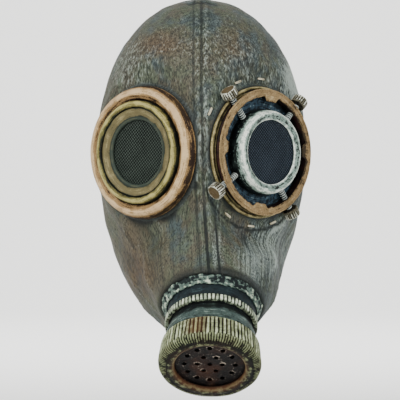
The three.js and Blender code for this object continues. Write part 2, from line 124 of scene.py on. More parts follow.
def read(tree: bpy.types.NodeTree, name: str) -> bpy.types.NodeSocket:
    """A number that a mesh carries for each corner."""
    return add(tree, "ShaderNodeAttribute", attribute_name=name).outputs["Fac"]


def sums(tree: bpy.types.NodeTree, operation: str, *values, **settings) -> bpy.types.NodeSocket:
    """The result of a sum on numbers and sockets, in order."""
    return add(tree, "ShaderNodeMath", dict(enumerate(values)), operation=operation,
               **settings).outputs[0]


def noisy(tree: bpy.types.NodeTree, place, scale: float, detail: float) -> bpy.types.NodeSocket:
    """Noise at a place, finer as the scale grows."""
    inputs = {"Vector": place, "Scale": scale, "Detail": detail}
    return add(tree, "ShaderNodeTexNoise", inputs).outputs[0]


def ranged(tree: bpy.types.NodeTree, value, low: float, high: float, start: float = 0.0,
           end: float = 1.0, kind: str = "LINEAR") -> bpy.types.NodeSocket:
    """Goes from start to end as a value goes from low to high."""
    return add(tree, "ShaderNodeMapRange", {0: value, 1: low, 2: high, 3: start, 4: end},
               interpolation_type=kind).outputs[0]


def mixed(tree: bpy.types.NodeTree, share, first, second, blend: str = "MIX"):
    """Goes from one colour to another by a share."""
    return add(tree, "ShaderNodeMix", {0: share, 6: first, 7: second}, data_type="RGBA",
               blend_type=blend).outputs[2]


def surfaced(tree: bpy.types.NodeTree, shader: bpy.types.Node, colour, gloss, height,
             strength: float, distance: float) -> None:
    """Links a colour, a roughness and a relief of a strength and a depth to the shader."""
    bump = add(tree, "ShaderNodeBump", {"Strength": strength, "Distance": distance, "Height": height})
    tree.links.new(colour, shader.inputs["Base Color"])
    if gloss:
        tree.links.new(gloss, shader.inputs["Roughness"])
    tree.links.new(bump.outputs["Normal"], shader.inputs["Normal"])


def bell(value: np.ndarray, middle, width: float) -> np.ndarray:
    """1 at the middle, and smoothly less over a width to each side."""
    return np.exp(-(((value - middle) / width) ** 2))


def turned_from(degrees: np.ndarray, middle: float) -> np.ndarray:
    """How many degrees an angle lies from another, the short way round."""
    return np.abs(np.mod(degrees - middle + 540, 360) - 180)


def around(angle: np.ndarray, radius, height) -> np.ndarray:
    """Points by angle, radius and height, a row of x, y, z each."""
    return np.column_stack((radius * np.cos(angle), radius * np.sin(angle), height + 0 * angle))


def noise_at(points: np.ndarray, size: float, seed: float) -> np.ndarray:
    """Smooth noise of about -1 to 1 at each point.

    Args:
        points: one row of x, y, z for each point, in millimetres.
        size: how far apart the lumps are, in millimetres.
        seed: moves the pattern, so that each use has its own.
    """
    return np.array([noise.noise(Vector(p)) for p in points / size + seed])


class Stand:
    """The place of a round sub-assembly: its middle and its axes right, up and out."""

    def __init__(self, origin: Vector, right: Vector, up: Vector, out: Vector) -> None:
        """Keeps the middle, in millimetres, and the three axes."""
        self.origin, self.right, self.up, self.out = origin, right, up, out

    @classmethod
    def eye(cls, side: int, yaw: float) -> "Stand":
        """An eye's stand, turned by yaw degrees to its side of the face."""
        turn = math.radians(yaw)
        out = Vector((side * math.sin(turn), -math.cos(turn), 0))
        up = Vector((0, 0, 1))
        return cls(Vector((side * 49.5, -70, -2 - CROWN_DROP)), up.cross(out), up, out)

    @classmethod
    def valve(cls, dip: float, lean: float) -> "Stand":
        """The valve's stand, which faces dip degrees down and lean degrees to one side."""
        d, s = math.radians(dip), math.radians(lean)
        out = Vector((math.sin(s), -math.cos(d) * math.cos(s), -math.sin(d) * math.cos(s)))
        right = (Vector((1, 0, 0)) - out * out.x).normalized()
        return cls(Vector((9, -98, -134 - CROWN_DROP)), right, out.cross(right), out)

    def matrix(self) -> Matrix:
        """Takes local millimetres to millimetres in the frame."""
        axes = Matrix((self.right, self.up, self.out)).transposed().to_4x4()
        return Matrix.Translation(self.origin) @ axes

    def polar(self, points: np.ndarray) -> tuple:
        """Distance from the axis and height along it, for each point in the frame."""
        offset = points - np.array(self.origin)
        height = offset @ np.array(self.out)
        return np.linalg.norm(offset - height[:, None] * np.array(self.out), axis=1), height


PLAIN_STAND = Stand.eye(-1, 38.5)
SCREW_STAND = Stand.eye(1, 42)
VALVE_STAND = Stand.valve(48, -2)


@dataclass(frozen=True)
class DryBrush:
    """Cast and painted surface: dark wash with painted shade in the hollows, and a paler brush with
    painted highlight over what stands out.

    The streaks follow the piece round, because the brush did. Sizes are millimetres.
    """

    name: str
    shade: int
    body: int
    raised: int
    tint: int
    metallic: float = 0.0
    roughness: float = 0.6
    along: float = 12.0
    across: float = 0.8
    streaks: float = 1.5
    mottle: float = 6.0
    mottles: float = 0.9
    grain: float = 1.0
    grains: float = 0.8
    bump: float = 0.6
    sheen: float = 0.22
    stain: float = 0.25

    def build(self) -> bpy.types.Material:
        """Makes the material's nodes."""
        material, tree, shader, place = started(self.name)
        tone, across, tint = (read(tree, name) for name in ("tone", "across", "tint"))
        scale = 1000 / self.along
        drift = sums(tree, "MULTIPLY", across, 1 / (self.across * scale))
        streak = add(tree, "ShaderNodeTexNoise",
                     {"Vector": place, "W": drift, "Scale": scale, "Detail": 4.0},
                     noise_dimensions="4D").outputs[0]
        mottle = noisy(tree, place, 1000 / self.mottle, 5.0)
        grain = noisy(tree, place, 1000 / self.grain, 3.0)
        level = tone
        for pattern, amount in ((streak, self.streaks), (mottle, self.mottles), (grain, self.grains)):
            level = sums(tree, "MULTIPLY_ADD", pattern, amount, level)
        middle = (self.streaks + self.mottles + self.grains) / 2
        # The tone runs the colour from shade to body to raised: dry-brush paint with painted shade and
        # painted highlight.
        colour = linear(self.shade)
        for hue, low, high in ((self.body, 0.12, 0.42), (self.raised, 0.55, 0.95)):
            share = ranged(tree, level, low + middle, high + middle, kind="SMOOTHSTEP")
            colour = mixed(tree, share, colour, linear(hue))
        patch = noisy(tree, place, 1000 / (3 * self.mottle), 4.0)
        spread = ranged(tree, patch, 0.45, 0.7, end=self.stain)
        amount = sums(tree, "MULTIPLY_ADD", tint, 0.75, spread, use_clamp=True)
        dyed = mixed(tree, 1.0, colour, linear(self.tint), "OVERLAY")
        flat = mixed(tree, 0.6, dyed, linear(self.tint))
        colour = mixed(tree, amount, colour, flat)
        height = sums(tree, "MULTIPLY_ADD", streak, 1.2, grain)
        gloss = ranged(tree, streak, 0.3, 0.7, self.roughness - 0.08, self.roughness + 0.1)
        shader.inputs["Metallic"].default_value = self.metallic
        shader.inputs["Specular IOR Level"].default_value = self.sheen
        surfaced(tree, shader, colour, gloss, height, self.bump, 0.0006)
        return material


@dataclass(frozen=True)
class LatexPaint:
    """Cast latex, brushed by hand: mottled grey-green with rust, pale streaks with painted highlights,
    and dark wash with painted shade.
    """

    name: str = "brushed_cast_latex"
    shade: int = 0x141A1A
    cool: int = 0x546160
    warm: int = 0x5E5A4A
    green: int = 0x5E6853
    rust: int = 0x67503B
    pale: int = 0xAEBBB2
    roughness: float = 0.62
    sheen: float = 0.25

    def build(self) -> bpy.types.Material:
        """Makes the material's nodes."""
        material, tree, shader, place = started(self.name)
        values = {name: read(tree, name)
                  for name in ("wash_and_shade", "pale", "rust", "seam", "low", "ray", "reach")}

        def pattern(size: float, stretch: float, detail: float, tilt: float) -> bpy.types.NodeSocket:
            """Noise with lumps of a size in millimetres, stretched up the face and tilted."""
            turn = add(tree, "ShaderNodeMapping",
                       {"Vector": place, "Location": (size, size, size),
                        "Rotation": (0, math.radians(tilt), 0), "Scale": (1, 1, 1 / stretch)})
            return add(tree, "ShaderNodeTexNoise",
                       {"Vector": turn.outputs[0], "Scale": 1000 / size, "Detail": detail,
                        "Roughness": 0.62}).outputs[0]

        def layer(colour, hue, mask, low: float, high: float, most: float):
            """Lays a paint over the colour where the mask runs from low to high."""
            share = ranged(tree, mask, low, high, end=most, kind="SMOOTHSTEP")
            return mixed(tree, share, colour, linear(hue))

        def joined(first, second, amount: float):
            """A mask plus an amount of another."""
            return sums(tree, "MULTIPLY_ADD", second, amount, first)

        def blended(first, second, share):
            """Goes from one mask to another by a share."""
            return add(tree, "ShaderNodeMix", {0: share, 2: first, 3: second}).outputs[0]

        def line(at: float, half: float, share) -> bpy.types.NodeSocket:
            """A line along the seam at a distance to its right, as strong as its share."""
            away = sums(tree, "ABSOLUTE", sums(tree, "SUBTRACT", wavy, at))
            trace = ranged(tree, away, 0.3 * half, half, 1.0, 0.0, "SMOOTHSTEP")
            return sums(tree, "MULTIPLY", trace, share)

        across = add(tree, "ShaderNodeSeparateXYZ", {0: place}).outputs[0]
        clouds = joined(pattern(34, 1.3, 6, 0), across, -1.3)
        blotch = pattern(11, 1.5, 6, 20)
        sweep = add(tree, "ShaderNodeCombineXYZ",
                    {0: joined(values["ray"], blotch, 3.0), 1: values["reach"], 2: 0.0})
        stroke = add(tree, "ShaderNodeMapping", {"Vector": sweep.outputs[0], "Scale": (0.42, 0.045, 1)})
        fan = add(tree, "ShaderNodeTexNoise",
                  {"Vector": stroke.outputs[0], "Scale": 1.0, "Detail": 5.0, "Roughness": 0.65})
        streak = blended(pattern(2.4, 2.6, 6, 24), fan.outputs[0], values["low"])
        hatch = blended(pattern(1.0, 3.4, 3, 42), pattern(1.1, 3.4, 3, -30),
                        ranged(tree, blotch, 0.44, 0.56))
        speck = pattern(2.3, 1.0, 4, 0)
        colour = layer(linear(self.cool), self.warm, clouds, 0.42, 0.58, 1.0)
        colour = layer(colour, self.green, blotch, 0.42, 0.62, 0.8)
        colour = layer(colour, self.rust, joined(values["rust"], blotch, 1.1), 0.68, 1.3, 0.8)
        colour = layer(colour, self.shade, streak, 0.54, 0.36, 0.6)
        colour = layer(colour, self.shade, hatch, 0.53, 0.39, 0.75)
        colour = layer(colour, self.shade, clouds, 0.46, 0.34, 0.4)
        # the pale brush, with painted highlights where the pale attribute carries them
        brushed_and_highlit = joined(values["pale"], joined(streak, hatch, 0.9), 1.0)
        colour = layer(colour, self.pale, brushed_and_highlit, 1.09, 1.5, 0.8)
        colour = layer(colour, self.pale, speck, 0.66, 0.76, 0.4)
        # painted shade: the wash attribute, with the streaks and hatch, darkens the colour
        washed_and_shaded = joined(values["wash_and_shade"], joined(streak, hatch, 0.7), 0.7)
        colour = layer(colour, self.shade, washed_and_shaded, 0.82, 1.5, 0.9)
        wavy = sums(tree, "SUBTRACT", joined(values["seam"], blotch, 2.0), 1.0)
        groove = line(0, 2.0, ranged(tree, values["low"], 0.0, 1.0, 0.65, 1.0))
        edges = joined(line(8.8, 1.6, values["low"]), line(-7.0, 1.8, 0.55), 1.0)
        edges = joined(edges, line(6.6, 1.5, 0.3), 1.0)
        colour = layer(colour, self.shade, joined(groove, edges, 1.0), 0.0, 1.0, 0.9)
        height = joined(joined(streak, hatch, 0.9), groove, -1.5)
        gloss = ranged(tree, streak, 0.3, 0.7, self.roughness - 0.12, self.roughness + 0.12)
        shader.inputs["Specular IOR Level"].default_value = self.sheen
        surfaced(tree, shader, colour, gloss, height, 0.7, 0.0008)
        return material


@dataclass(frozen=True)
class Screening:
    """Woven plastic screening, dyed dark: faint gloss on each thread, with dust and a painted highlight
    where it rises and painted shade where it dips.
    """

    name: str
    thread: int
    dust_and_highlight: int

    def build(self) -> bpy.types.Material:
        """Makes the material's nodes."""
        material, tree, shader, place = started(self.name)
        rise = read(tree, "tone")
        level = sums(tree, "MULTIPLY_ADD", noisy(tree, place, 90.0, 4.0), 0.3, rise)
        share = ranged(tree, level, 0.55, 1.15)
        colour = mixed(tree, share, linear(self.thread), linear(self.dust_and_highlight))
        shader.inputs["Roughness"].default_value = 0.6
        shader.inputs["Specular IOR Level"].default_value = 0.12
        surfaced(tree, shader, colour, None, noisy(tree, place, 1400.0, 2.0), 0.4, 0.0002)
        return material


class Paint(Enum):
    """The finishes of the mask's hard parts, each cast resin or latex unless it says otherwise."""

    # Cast resin in peach paint rubbed over brown: warm pale edges and a reddish side
    RIM = DryBrush("peach_rubbed_resin", 0x2A1C12, 0xA08054, 0xDCBE90, 0x6A5A3A, mottles=0.6)
    # Cast resin in olive paint: yellow edge over nearly black grooves, dark wash with painted shade
    RING = DryBrush("olive_rubbed_resin", 0x14160F, 0x6F6838, 0xB9AE6C, 0x5C6B4A)
    # Cast resin, brown-green and worn: flat slope that darkens to green at the window
    DISH = DryBrush("worn_khaki_resin", 0x1E251C, 0x6A6140, 0xA09468, 0x4A584E, streaks=1.0, mottles=0.5,
                    grains=0.5, stain=0.1)
    # Cast resin in aged brass paint: olive with pale edges
    BASE = DryBrush("aged_brass_paint", 0x1A150E, 0x655D3A, 0xB6A877, 0x6E5232, 0.1)
    # Cast resin in iron-red paint: dark side that reads as rust
    WALL = DryBrush("iron_red_paint", 0x0E0908, 0x35201B, 0x6A4234, 0x6C241C)
    # Cast resin in worn copper paint: flat tan with darker torn edges, and painted shade on its
    # right-hand side
    PLATE = DryBrush("worn_copper_paint", 0x2A2014, 0x937A54, 0xC2AC80, 0x665836, 0.1, 0.55,
                     mottle=4.0, stain=0.5)
    # Cast resin in blue-black paint: dark floor with dusty blue specks
    WELL = DryBrush("blue_black_paint", 0x121C24, 0x3A5262, 0xA8C2C2, 0x3C5658, mottle=3.0,
                    mottles=1.4)
    # Cast resin in silver paint rubbed over black: greenish white with black pits
    SILVER = DryBrush("silver_over_black", 0x070A0B, 0x8CA297, 0xF6FDF0, 0x8FA79A, 0.0, 0.42,
                      along=6.0, across=1.2, mottle=4.0, stain=0.1)
    # Zinc-plated steel gone dull: grey, with near-white painted highlight on the crests and near-black
    # painted shade in the thread roots
    SCREW = DryBrush("dull_zinc_steel", 0x060808, 0x8E9A97, 0xF4FAF2, 0x6B6652, 0.0, 0.4,
                     streaks=0.3, mottles=0.3)
    # Cast knobs in pewter paint: pale ridges and a brown end
    KNOB = DryBrush("pewter_paint", 0x080705, 0x625E4C, 0xE8ECDC, 0x6C5838, 0.0, 0.5, streaks=0.4,
                    mottles=0.5, mottle=3.0, stain=0.15)
    # Tinned wire: small pale bars
    STAPLE = DryBrush("tinned_wire", 0x120F0B, 0xA0977A, 0xE4DDC0, 0x6A6046, 0.2, 0.45, stain=0.1)
    # Torn latex wrap, brushed pale green over slate: the high spots catch the paint
    COLLAR = DryBrush("torn_latex_wrap", 0x10181A, 0x62756B, 0xD0DEC4, 0x3C4C48, 0, 0.7,
                      along=4.0, across=1.6, mottle=2.2, mottles=1.6)
    # Cast resin in slate paint: dark band
    VALVE = DryBrush("slate_paint", 0x060A0B, 0x18252A, 0x4A6163, 0x20302F)
    # Cast resin in pale green paint over black: bright ribs
    NUT = DryBrush("pale_green_ribs", 0x090E0C, 0x94A288, 0xEDF5DC, 0x8A7F55, streaks=0.5, mottles=1.0,
                   mottle=4.0)
    # Cast resin in blue-grey paint: smooth waist
    NECK = DryBrush("blue_grey_paint", 0x0B1112, 0x42534F, 0x96A89E, 0x4A5844)
    # Cast resin in moss paint: yellow-green ribs, black valleys and a rusty lip
    DRUM = DryBrush("moss_ribbed_resin", 0x080B06, 0x7C8460, 0xCDD6B0, 0x754C30, streaks=0.5,
                    mottles=1.1, mottle=5.0, stain=0.1)
    # Painted sheet steel: nearly black with rust coming through; its pale raised colour is painted glint
    # by the holes
    GRILLE = DryBrush("rusted_sheet", 0x010101, 0x0C0706, 0xA89C8E, 0x4A2814, 0.0, 0.5, mottle=5.0,
                      mottles=0.7, stain=0.8)
    # The hood's own latex paint
    HOOD = LatexPaint()
    # Woven screening behind the plain eye, green-black
    PLAIN_MESH = Screening("green_black_screening", 0x060907, 0x4A554D)
    # Woven screening behind the screwed eye, blue-black
    SCREW_MESH = Screening("blue_black_screening", 0x040608, 0x44505C)


MADE: dict = {}


def dressed(obj: bpy.types.Object, paint: Paint, slot: str, *nodes: str) -> bpy.types.Object:
    """Paints a finished piece and ties it to the frame.

    Args:
        obj: the piece, with its place in its mesh.
        paint: its finish.
        slot: the material slot's name; not used.
        nodes: the solids it stands for.

    Returns:
        The same piece.
    """
    if paint not in MADE:
        MADE[paint] = paint.value.build()
    obj.data.materials.clear()
    obj.data.materials.append(MADE[paint])
    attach(obj, ROOT)
    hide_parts(*nodes)
    log.info("%s: %d faces", obj.name, len(obj.data.polygons))
    return obj


def only(obj: bpy.types.Object) -> bpy.types.Object:
    """Selects one object alone and makes it active."""
    bpy.ops.object.select_all(action="DESELECT")
    obj.select_set(True)
    bpy.context.view_layer.objects.active = obj
    return obj


def fresh(maker: Callable, **settings) -> bpy.types.Object:
    """Adds a primitive by its operator, with its place in its mesh."""
    bpy.ops.object.select_all(action="DESELECT")
    maker(**settings)
    bpy.ops.object.transform_apply(location=True, rotation=True, scale=True)
    return bpy.context.object


@contextmanager
def editing(obj: bpy.types.Object) -> Iterator[None]:
    """Edits one mesh, with all of it selected, and then leaves it."""
    only(obj)
    bpy.ops.object.mode_set(mode="EDIT")
    bpy.ops.mesh.select_all(action="SELECT")
    yield
    bpy.ops.object.mode_set(mode="OBJECT")


def merged(objects: list) -> bpy.types.Object:
    """Joins objects into the first of them."""
    only(objects[0])
    for other in objects[1:]:
        other.select_set(True)
    bpy.ops.object.join()
    return objects[0]


def corners(obj: bpy.types.Object) -> np.ndarray:
    """A mesh's corners, a row of x, y, z each."""
    points = np.empty(3 * len(obj.data.vertices))
    obj.data.vertices.foreach_get("co", points)
    return points.reshape(-1, 3)


def reshape(obj: bpy.types.Object, points: np.ndarray) -> None:
    """Moves a mesh's corners to new places."""
    obj.data.vertices.foreach_set("co", points.ravel())
    obj.data.update()


def mark(obj: bpy.types.Object, name: str, values: np.ndarray) -> None:
    """Writes a number for each corner, which the material reads."""
    attribute = obj.data.attributes.new(name, "FLOAT", "POINT")
    attribute.data.foreach_set("value", values.astype(np.float32))


def finished(obj: bpy.types.Object, stand: Optional[Stand], angle: float = 38) -> bpy.types.Object:
    """Sets a piece on its stand, in metres, and smooths what is under an angle."""
    if stand:
        obj.data.transform(stand.matrix())
    obj.data.transform(Matrix.Scale(MM, 4))
    only(obj)
    bpy.ops.object.shade_smooth_by_angle(angle=math.radians(angle))
    return obj


def apply(obj: bpy.types.Object, kind: str, **settings) -> None:
    """Adds a modifier with its settings and applies it."""
    only(obj)
    modifier = obj.modifiers.new(kind.lower(), kind)
    for name, value in settings.items():
        setattr(modifier, name, value)
    bpy.ops.object.modifier_apply(modifier=modifier.name)


def bore(obj: bpy.types.Object, drills: list) -> None:
    """Cuts drills out of a piece and takes them away."""
    drill = merged(drills)
    apply(obj, "BOOLEAN", operation="DIFFERENCE", object=drill, solver="EXACT")
    bpy.data.objects.remove(drill)


def rounded(rows: list, rounds: int) -> list:
    """Cuts the corners of a closed section a number of times, which rounds its edges."""
    for _ in range(rounds):
        cut = []
        for k, row in enumerate(rows):
            after = rows[(k + 1) % len(rows)]
            for share in (0.22, 0.78):
                cut.append(Row(*(a + (b - a) * share for a, b in zip(row, after))))
        rows = cut
    return rows


def turned(name: str, rows: list, sides: int, shape: Optional[Shape] = None,
           rounds: int = 2, patch: Optional[Callable] = None) -> bpy.types.Object:
    """Turns a closed section about the axis.

    Args:
        name: the piece's name.
        rows: the section's corners in order.
        sides: steps of the turn.
        shape: moves the corners afterwards, for ribs, threads and lumps.
        rounds: how often the section's corners are cut.
        patch: gives the tint to add, from angle, radius and height.

    Returns:
        The piece, in millimetres about its own axis.
    """
    section = rounded([Row(*row) for row in rows], rounds)
    obj = fresh(bpy.ops.mesh.primitive_circle_add, vertices=len(section), radius=1)
    obj.name = name
    reshape(obj, np.array([(max(row.r, 0), 0, row.h) for row in section]))
    with editing(obj):
        bpy.ops.mesh.spin(steps=sides, angle=math.tau, center=(0, 0, 0), axis=(0, 0, 1))
        bpy.ops.mesh.select_all(action="SELECT")
        bpy.ops.mesh.remove_doubles(threshold=0.004)
        bpy.ops.mesh.normals_make_consistent(inside=False)
    points = corners(obj)
    radius, height = np.hypot(points[:, 0], points[:, 1]), points[:, 2].copy()
    angle = np.arctan2(points[:, 1], points[:, 0])
    table = np.array(section)
    near = (radius[:, None] - table[:, 0]) ** 2 + (height[:, None] - table[:, 1]) ** 2
    nearest = np.argmin(near, axis=1)
    steps = np.hypot(*np.diff(table[:, :2], axis=0, prepend=table[:1, :2]).T)
    tone, tint, across = table[nearest, 2], table[nearest, 3], np.cumsum(steps)[nearest]
    if shape:
        moved, height, tone = shape(angle, radius, height, tone)
        ratio = np.where(radius > 1e-6, moved / np.maximum(radius, 1e-6), 1)
        points = np.column_stack((points[:, 0] * ratio, points[:, 1] * ratio, height))
        reshape(obj, points)
    if patch:
        tint = tint + patch(angle, radius, height)
    mark(obj, "tone", tone)
    mark(obj, "tint", tint)
    mark(obj, "across", across)
    return obj


def hand_cut(amount: float, size: float, seed: float) -> Shape:
    """Unevenness of a hand-made mould: everything wanders by an amount over a size."""

    def shape(angle, radius, height, tone):
        """Moves radius and height a little."""
        at = around(angle, radius, height)
        wander = noise_at(at, size, seed)
        small = noise_at(at, size / 3, seed + 5)
        radius = np.where(radius > 1e-6, radius + amount * 0.5 * wander, radius)
        return radius, height + amount * (0.5 * wander + 0.3 * small), tone + 0.25 * small

    return shape


def ridged(count: int, depth: float, inside: float, low: float, high: float, seed: float) -> Shape:
    """Ribs along the axis.

    Args:
        count: ribs all round.
        depth: how deep the valleys are.
        inside: radius under which nothing is ribbed.
        low: height where the ribs start.
        high: height where they end.
        seed: moves the unevenness from rib to rib.
    """

    def shape(angle, radius, height, tone):
        """Draws the valleys in and darkens them, dark paint with painted shade."""
        at = around(angle, radius, 0.4 * height)
        turn = np.mod(angle, math.tau) / math.tau * count + 0.14 * noise_at(at, 2.2, seed)
        rib = np.mod(np.floor(turn), count)
        uneven = 0.5 + 0.5 * np.sin(12.9898 * (rib + seed)) * np.cos(4.1414 * rib)
        turn = np.mod(turn, count)
        valley = smooth(0.22, 0.5, np.abs(turn - rib - 0.5))
        fade = smooth(low - 0.3, low + 0.6, height) * smooth(high + 0.3, high - 0.6, height)
        outer = fade * (radius > inside)
        drawn = radius - outer * depth * valley * (0.8 + 0.3 * uneven)
        return drawn, height, tone + outer * (0.5 * uneven - 0.2 - 1.2 * valley)

    return shape


def both(first: Shape, second: Shape) -> Shape:
    """One shape after the other."""
    return lambda angle, radius, height, tone: second(angle, *first(angle, radius, height, tone))


def screen(name: str, radius: float, low: float, pitch: float, stand: Stand, turn: float):
    """Weaves a round plain-weave screen of flat threads.

    Args:
        name: the piece's name.
        radius: of the screen.
        low: height of its back.
        pitch: thread spacing. The real one is near 1 mm, drawn coarser so that it shows.
        stand: the eye's stand.
        turn: the weave's turn in degrees.
    """
    half, thick, rise = 0.24 * pitch, 0.13, 0.22
    points, faces, tones = [], [], []
    count = int(radius / pitch)
    for way in (0, 1):
        for k in range(-count, count + 1):
            off = k * pitch
            reach = math.sqrt(max(radius**2 - off**2, 0)) - 0.2
            steps = int(2 * reach / (pitch / 2))
            if steps < 2:
                continue
            start = len(points)
            for step in range(steps + 1):
                along = -reach + 2 * reach * step / steps
                lift = rise * math.cos(math.pi * (along / pitch + k + way))
                for side, up in ((-half, -thick), (half, -thick), (half, thick), (-half, thick)):
                    flat = (along, off + side) if way == 0 else (off + side, along)
                    points.append((*flat, low + 0.65 + lift + up))
                    # tone follows the thread's rise: painted highlight on the crests, painted shade in
                    # the dips
                    tones.append(0.5 + 0.5 * lift / rise)
            for step in range(steps):
                a = start + 4 * step
                for side in range(4):
                    b = a + (side + 1) % 4
                    faces.append((a + side, b, b + 4, a + side + 4))
            end = start + 4 * steps
            faces += [(start, start + 3, start + 2, start + 1), (end, end + 1, end + 2, end + 3)]
    mesh = bpy.data.meshes.new(name)
    mesh.from_pydata(points, [], faces)
    obj = bpy.data.objects.new(name, mesh)
    bpy.context.collection.objects.link(obj)
    mark(obj, "tone", np.array(tones))
    with editing(obj):
        bpy.ops.mesh.normals_make_consistent(inside=False)
    obj.data.transform(Matrix.Rotation(math.radians(turn), 4, "Z"))
    return finished(obj, stand, 50)


class Patch(NamedTuple):
    """A soft patch of paint or painted highlight on the front of the hood: place, size and strength."""

    x: float
    z: float
    wide: float
    tall: float
    amount: float


@dataclass
class Hood:
    """Latex hood: a closed crown, a narrow nose ridge, eye bosses and a snout with a level pad."""

    half_width: float = 94
    widest: float = 2
    crown_rise: float = 136
    crown_power: float = 2.12
    jaw_drop: float = 172
    floor: float = -169
    back_power: float = 2.05
    wall: float = 2.3
    voxel: float = 2.15
    around: int = 224
    down: int = 190
    # Height, face depth, back depth, squareness of the face, lean of the snout, nose ridge
    sections: tuple = (
        (138, 104, 104, 2.0, 0, 5),
        (60, 104, 106, 1.8, 0, 5),
        (2, 106, 105, 1.5, 1, 5),
        (-40, 109, 99, 1.45, 2, 6),
        (-75, 113, 91, 1.45, 4, 22),
        (-90, 120, 87, 1.6, 5.3, 34),
        (-105, 131, 84, 1.8, 6.7, 45),
        (-134, 130, 80, 2.7, 9, 45),
        (-169, 120, 80, 3.0, 10, 45),
    )
    # Rise of the seam by distance to its side, at the brow and at the snout
    upper_bead: tuple = ((-8, 0), (-6, 0.5), (-3.6, 1.1), (-1.4, 0.8), (0, -0.5), (1.4, 0.8),
                         (3.6, 1.1), (6, 0.5), (8, 0))
    lower_bead: tuple = ((-7, 0), (-5, 0.6), (-3, 1.0), (-1.4, 0.9), (0, -0.8), (1.6, 1.1),
                         (3, 1.5), (7, 1.5), (8.6, 1.1), (9.4, 0))
    # Where the pale brush went, partly painted highlight such as the bright right temple, and where rust
    # shows
    brushed_and_highlit: tuple = (
        Patch(64, -80, 20, 30, 0.3), Patch(83, 66, 13, 28, 0.55), Patch(14, -80, 5, 30, 0.25),
        Patch(0, 6, 12, 40, 0.2), Patch(38, 66, 24, 40, 0.16), Patch(-48, -84, 14, 22, 0.05),
        Patch(-66, 74, 22, 30, 0.22), Patch(-6, 90, 40, 30, 0.12), Patch(40, -100, 18, 26, 0.25),
    )
    rusted: tuple = (
        Patch(-38, 92, 32, 16, 0.6), Patch(32, 88, 26, 30, 0.45), Patch(-62, -70, 18, 34, 0.4),
        Patch(-12, 40, 18, 30, 0.3), Patch(34, -70, 12, 18, 0.5), Patch(-30, -74, 6, 26, 0.3),
        Patch(66, 54, 14, 20, 0.3), Patch(-52, -112, 24, 26, 0.5),
    )

    def at_height(self, column: int, z: np.ndarray) -> np.ndarray:
        """A column of the sections at each height, on a smooth curve through the rows."""
        rows = np.array(self.sections, float)
        heights, values = rows[:, 0], rows[:, column]
        last = len(rows) - 1
        before, after = np.maximum(np.arange(last + 1) - 1, 0), np.minimum(np.arange(last + 1) + 1, last)
        slope = (values[after] - values[before]) / (heights[after] - heights[before])
        k = np.clip(np.searchsorted(-heights, -z), 1, last)
        span = heights[k] - heights[k - 1]
        t = np.clip((z - heights[k - 1]) / span, 0, 1)
        rise = 3 * t**2 - 2 * t**3
        bend = t * (1 - t) ** 2 * span * slope[k - 1] - t**2 * (1 - t) * span * slope[k]
        return values[k - 1] + (values[k] - values[k - 1]) * rise + bend

    def points(self, angle: np.ndarray, level: np.ndarray) -> np.ndarray:
        """Corners of the hood's outer form, by angle from the nose and level from the crown."""
        dome = self.widest + self.crown_rise * np.cos(np.minimum(level, 1) * math.pi / 2).clip(0) ** (
            2 / self.crown_power)
        z = np.where(level <= 1, dome, self.widest + (self.floor - self.widest) * (level - 1))
        above = z > self.widest
        power = np.where(above, self.crown_power, 2)
        share = np.minimum(1, np.abs(z - self.widest) / np.where(above, self.crown_rise, self.jaw_drop))
        off = (1 - share**power) ** (1 / power)
        cosine, sine = np.cos(angle), np.sin(angle)
        squareness = np.where(cosine > 0, self.at_height(3, z), self.back_power)
        depth = np.where(cosine > 0, self.at_height(1, z), self.at_height(2, z)) * np.where(above, off, 1)
        y = -depth * np.sign(cosine) * np.abs(cosine) ** (2 / squareness)
        sway = self.at_height(4, z)
        x = self.half_width * off * np.sign(sine) * np.abs(sine) ** (2 / squareness)
        x = x + sway * smooth(20, 80, -y)
        points = np.column_stack((x, y, z - CROWN_DROP))
        for stand, side in ((PLAIN_STAND, -1), (SCREW_STAND, 1)):
            ridge = self.at_height(5, z)
            near = np.clip(side * (x - sway) / ridge, 0, 1)
            points = self.levelled(points, stand, near * near * (3 - 2 * near))
        return points

    def levelled(self, points: np.ndarray, stand: Stand, share: np.ndarray) -> np.ndarray:
        """Moves ground near an eye to the level of its moat."""
        level, shallow, deep = -3.6, 16, 34
        distance, height = stand.polar(points)
        high = height > level
        near = np.where(high, 1 - smooth(70, 92, distance), 1 - smooth(60, 80, distance))
        amount = (level - height) * share * near * (1 - smooth(shallow, deep, -height))
        return points + amount[:, None] * np.array(stand.out)

    def loft(self) -> bpy.types.Object:
        """A sphere drawn out to the hood's outer form, cut off at the valve's pad."""
        obj = fresh(bpy.ops.mesh.primitive_uv_sphere_add, segments=self.around,
                    ring_count=self.down, radius=1)
        ball = corners(obj)
        polar = np.arccos(np.clip(ball[:, 2], -1, 1)) / math.pi * self.down
        angle = np.arctan2(ball[:, 0], -ball[:, 1])
        level = np.clip(2 * np.round(polar) / (self.down - 1), 0, 2)
        points = self.points(angle, level)
        points[np.argmax(ball[:, 2])] = (0, 0, self.widest + self.crown_rise - CROWN_DROP)
        points[np.argmin(ball[:, 2])] = (0, -20, self.floor - CROWN_DROP)
        reshape(obj, points)
        with editing(obj):
            bpy.ops.mesh.bisect(plane_co=VALVE_STAND.origin, plane_no=VALVE_STAND.out,
                                use_fill=True, clear_outer=True)
            bpy.ops.mesh.select_all(action="SELECT")
            bpy.ops.mesh.normals_make_consistent(inside=False)
        return obj

    def disc(self, stand: Stand, front: float, back: float, low: float, high: float):
        """A cone or disc on a stand, to be joined to the hood."""
        obj = fresh(bpy.ops.mesh.primitive_cone_add, vertices=96, radius1=back, radius2=front,
                    depth=high - low, location=(0, 0, (low + high) / 2))
        obj.data.transform(stand.matrix())
        return obj

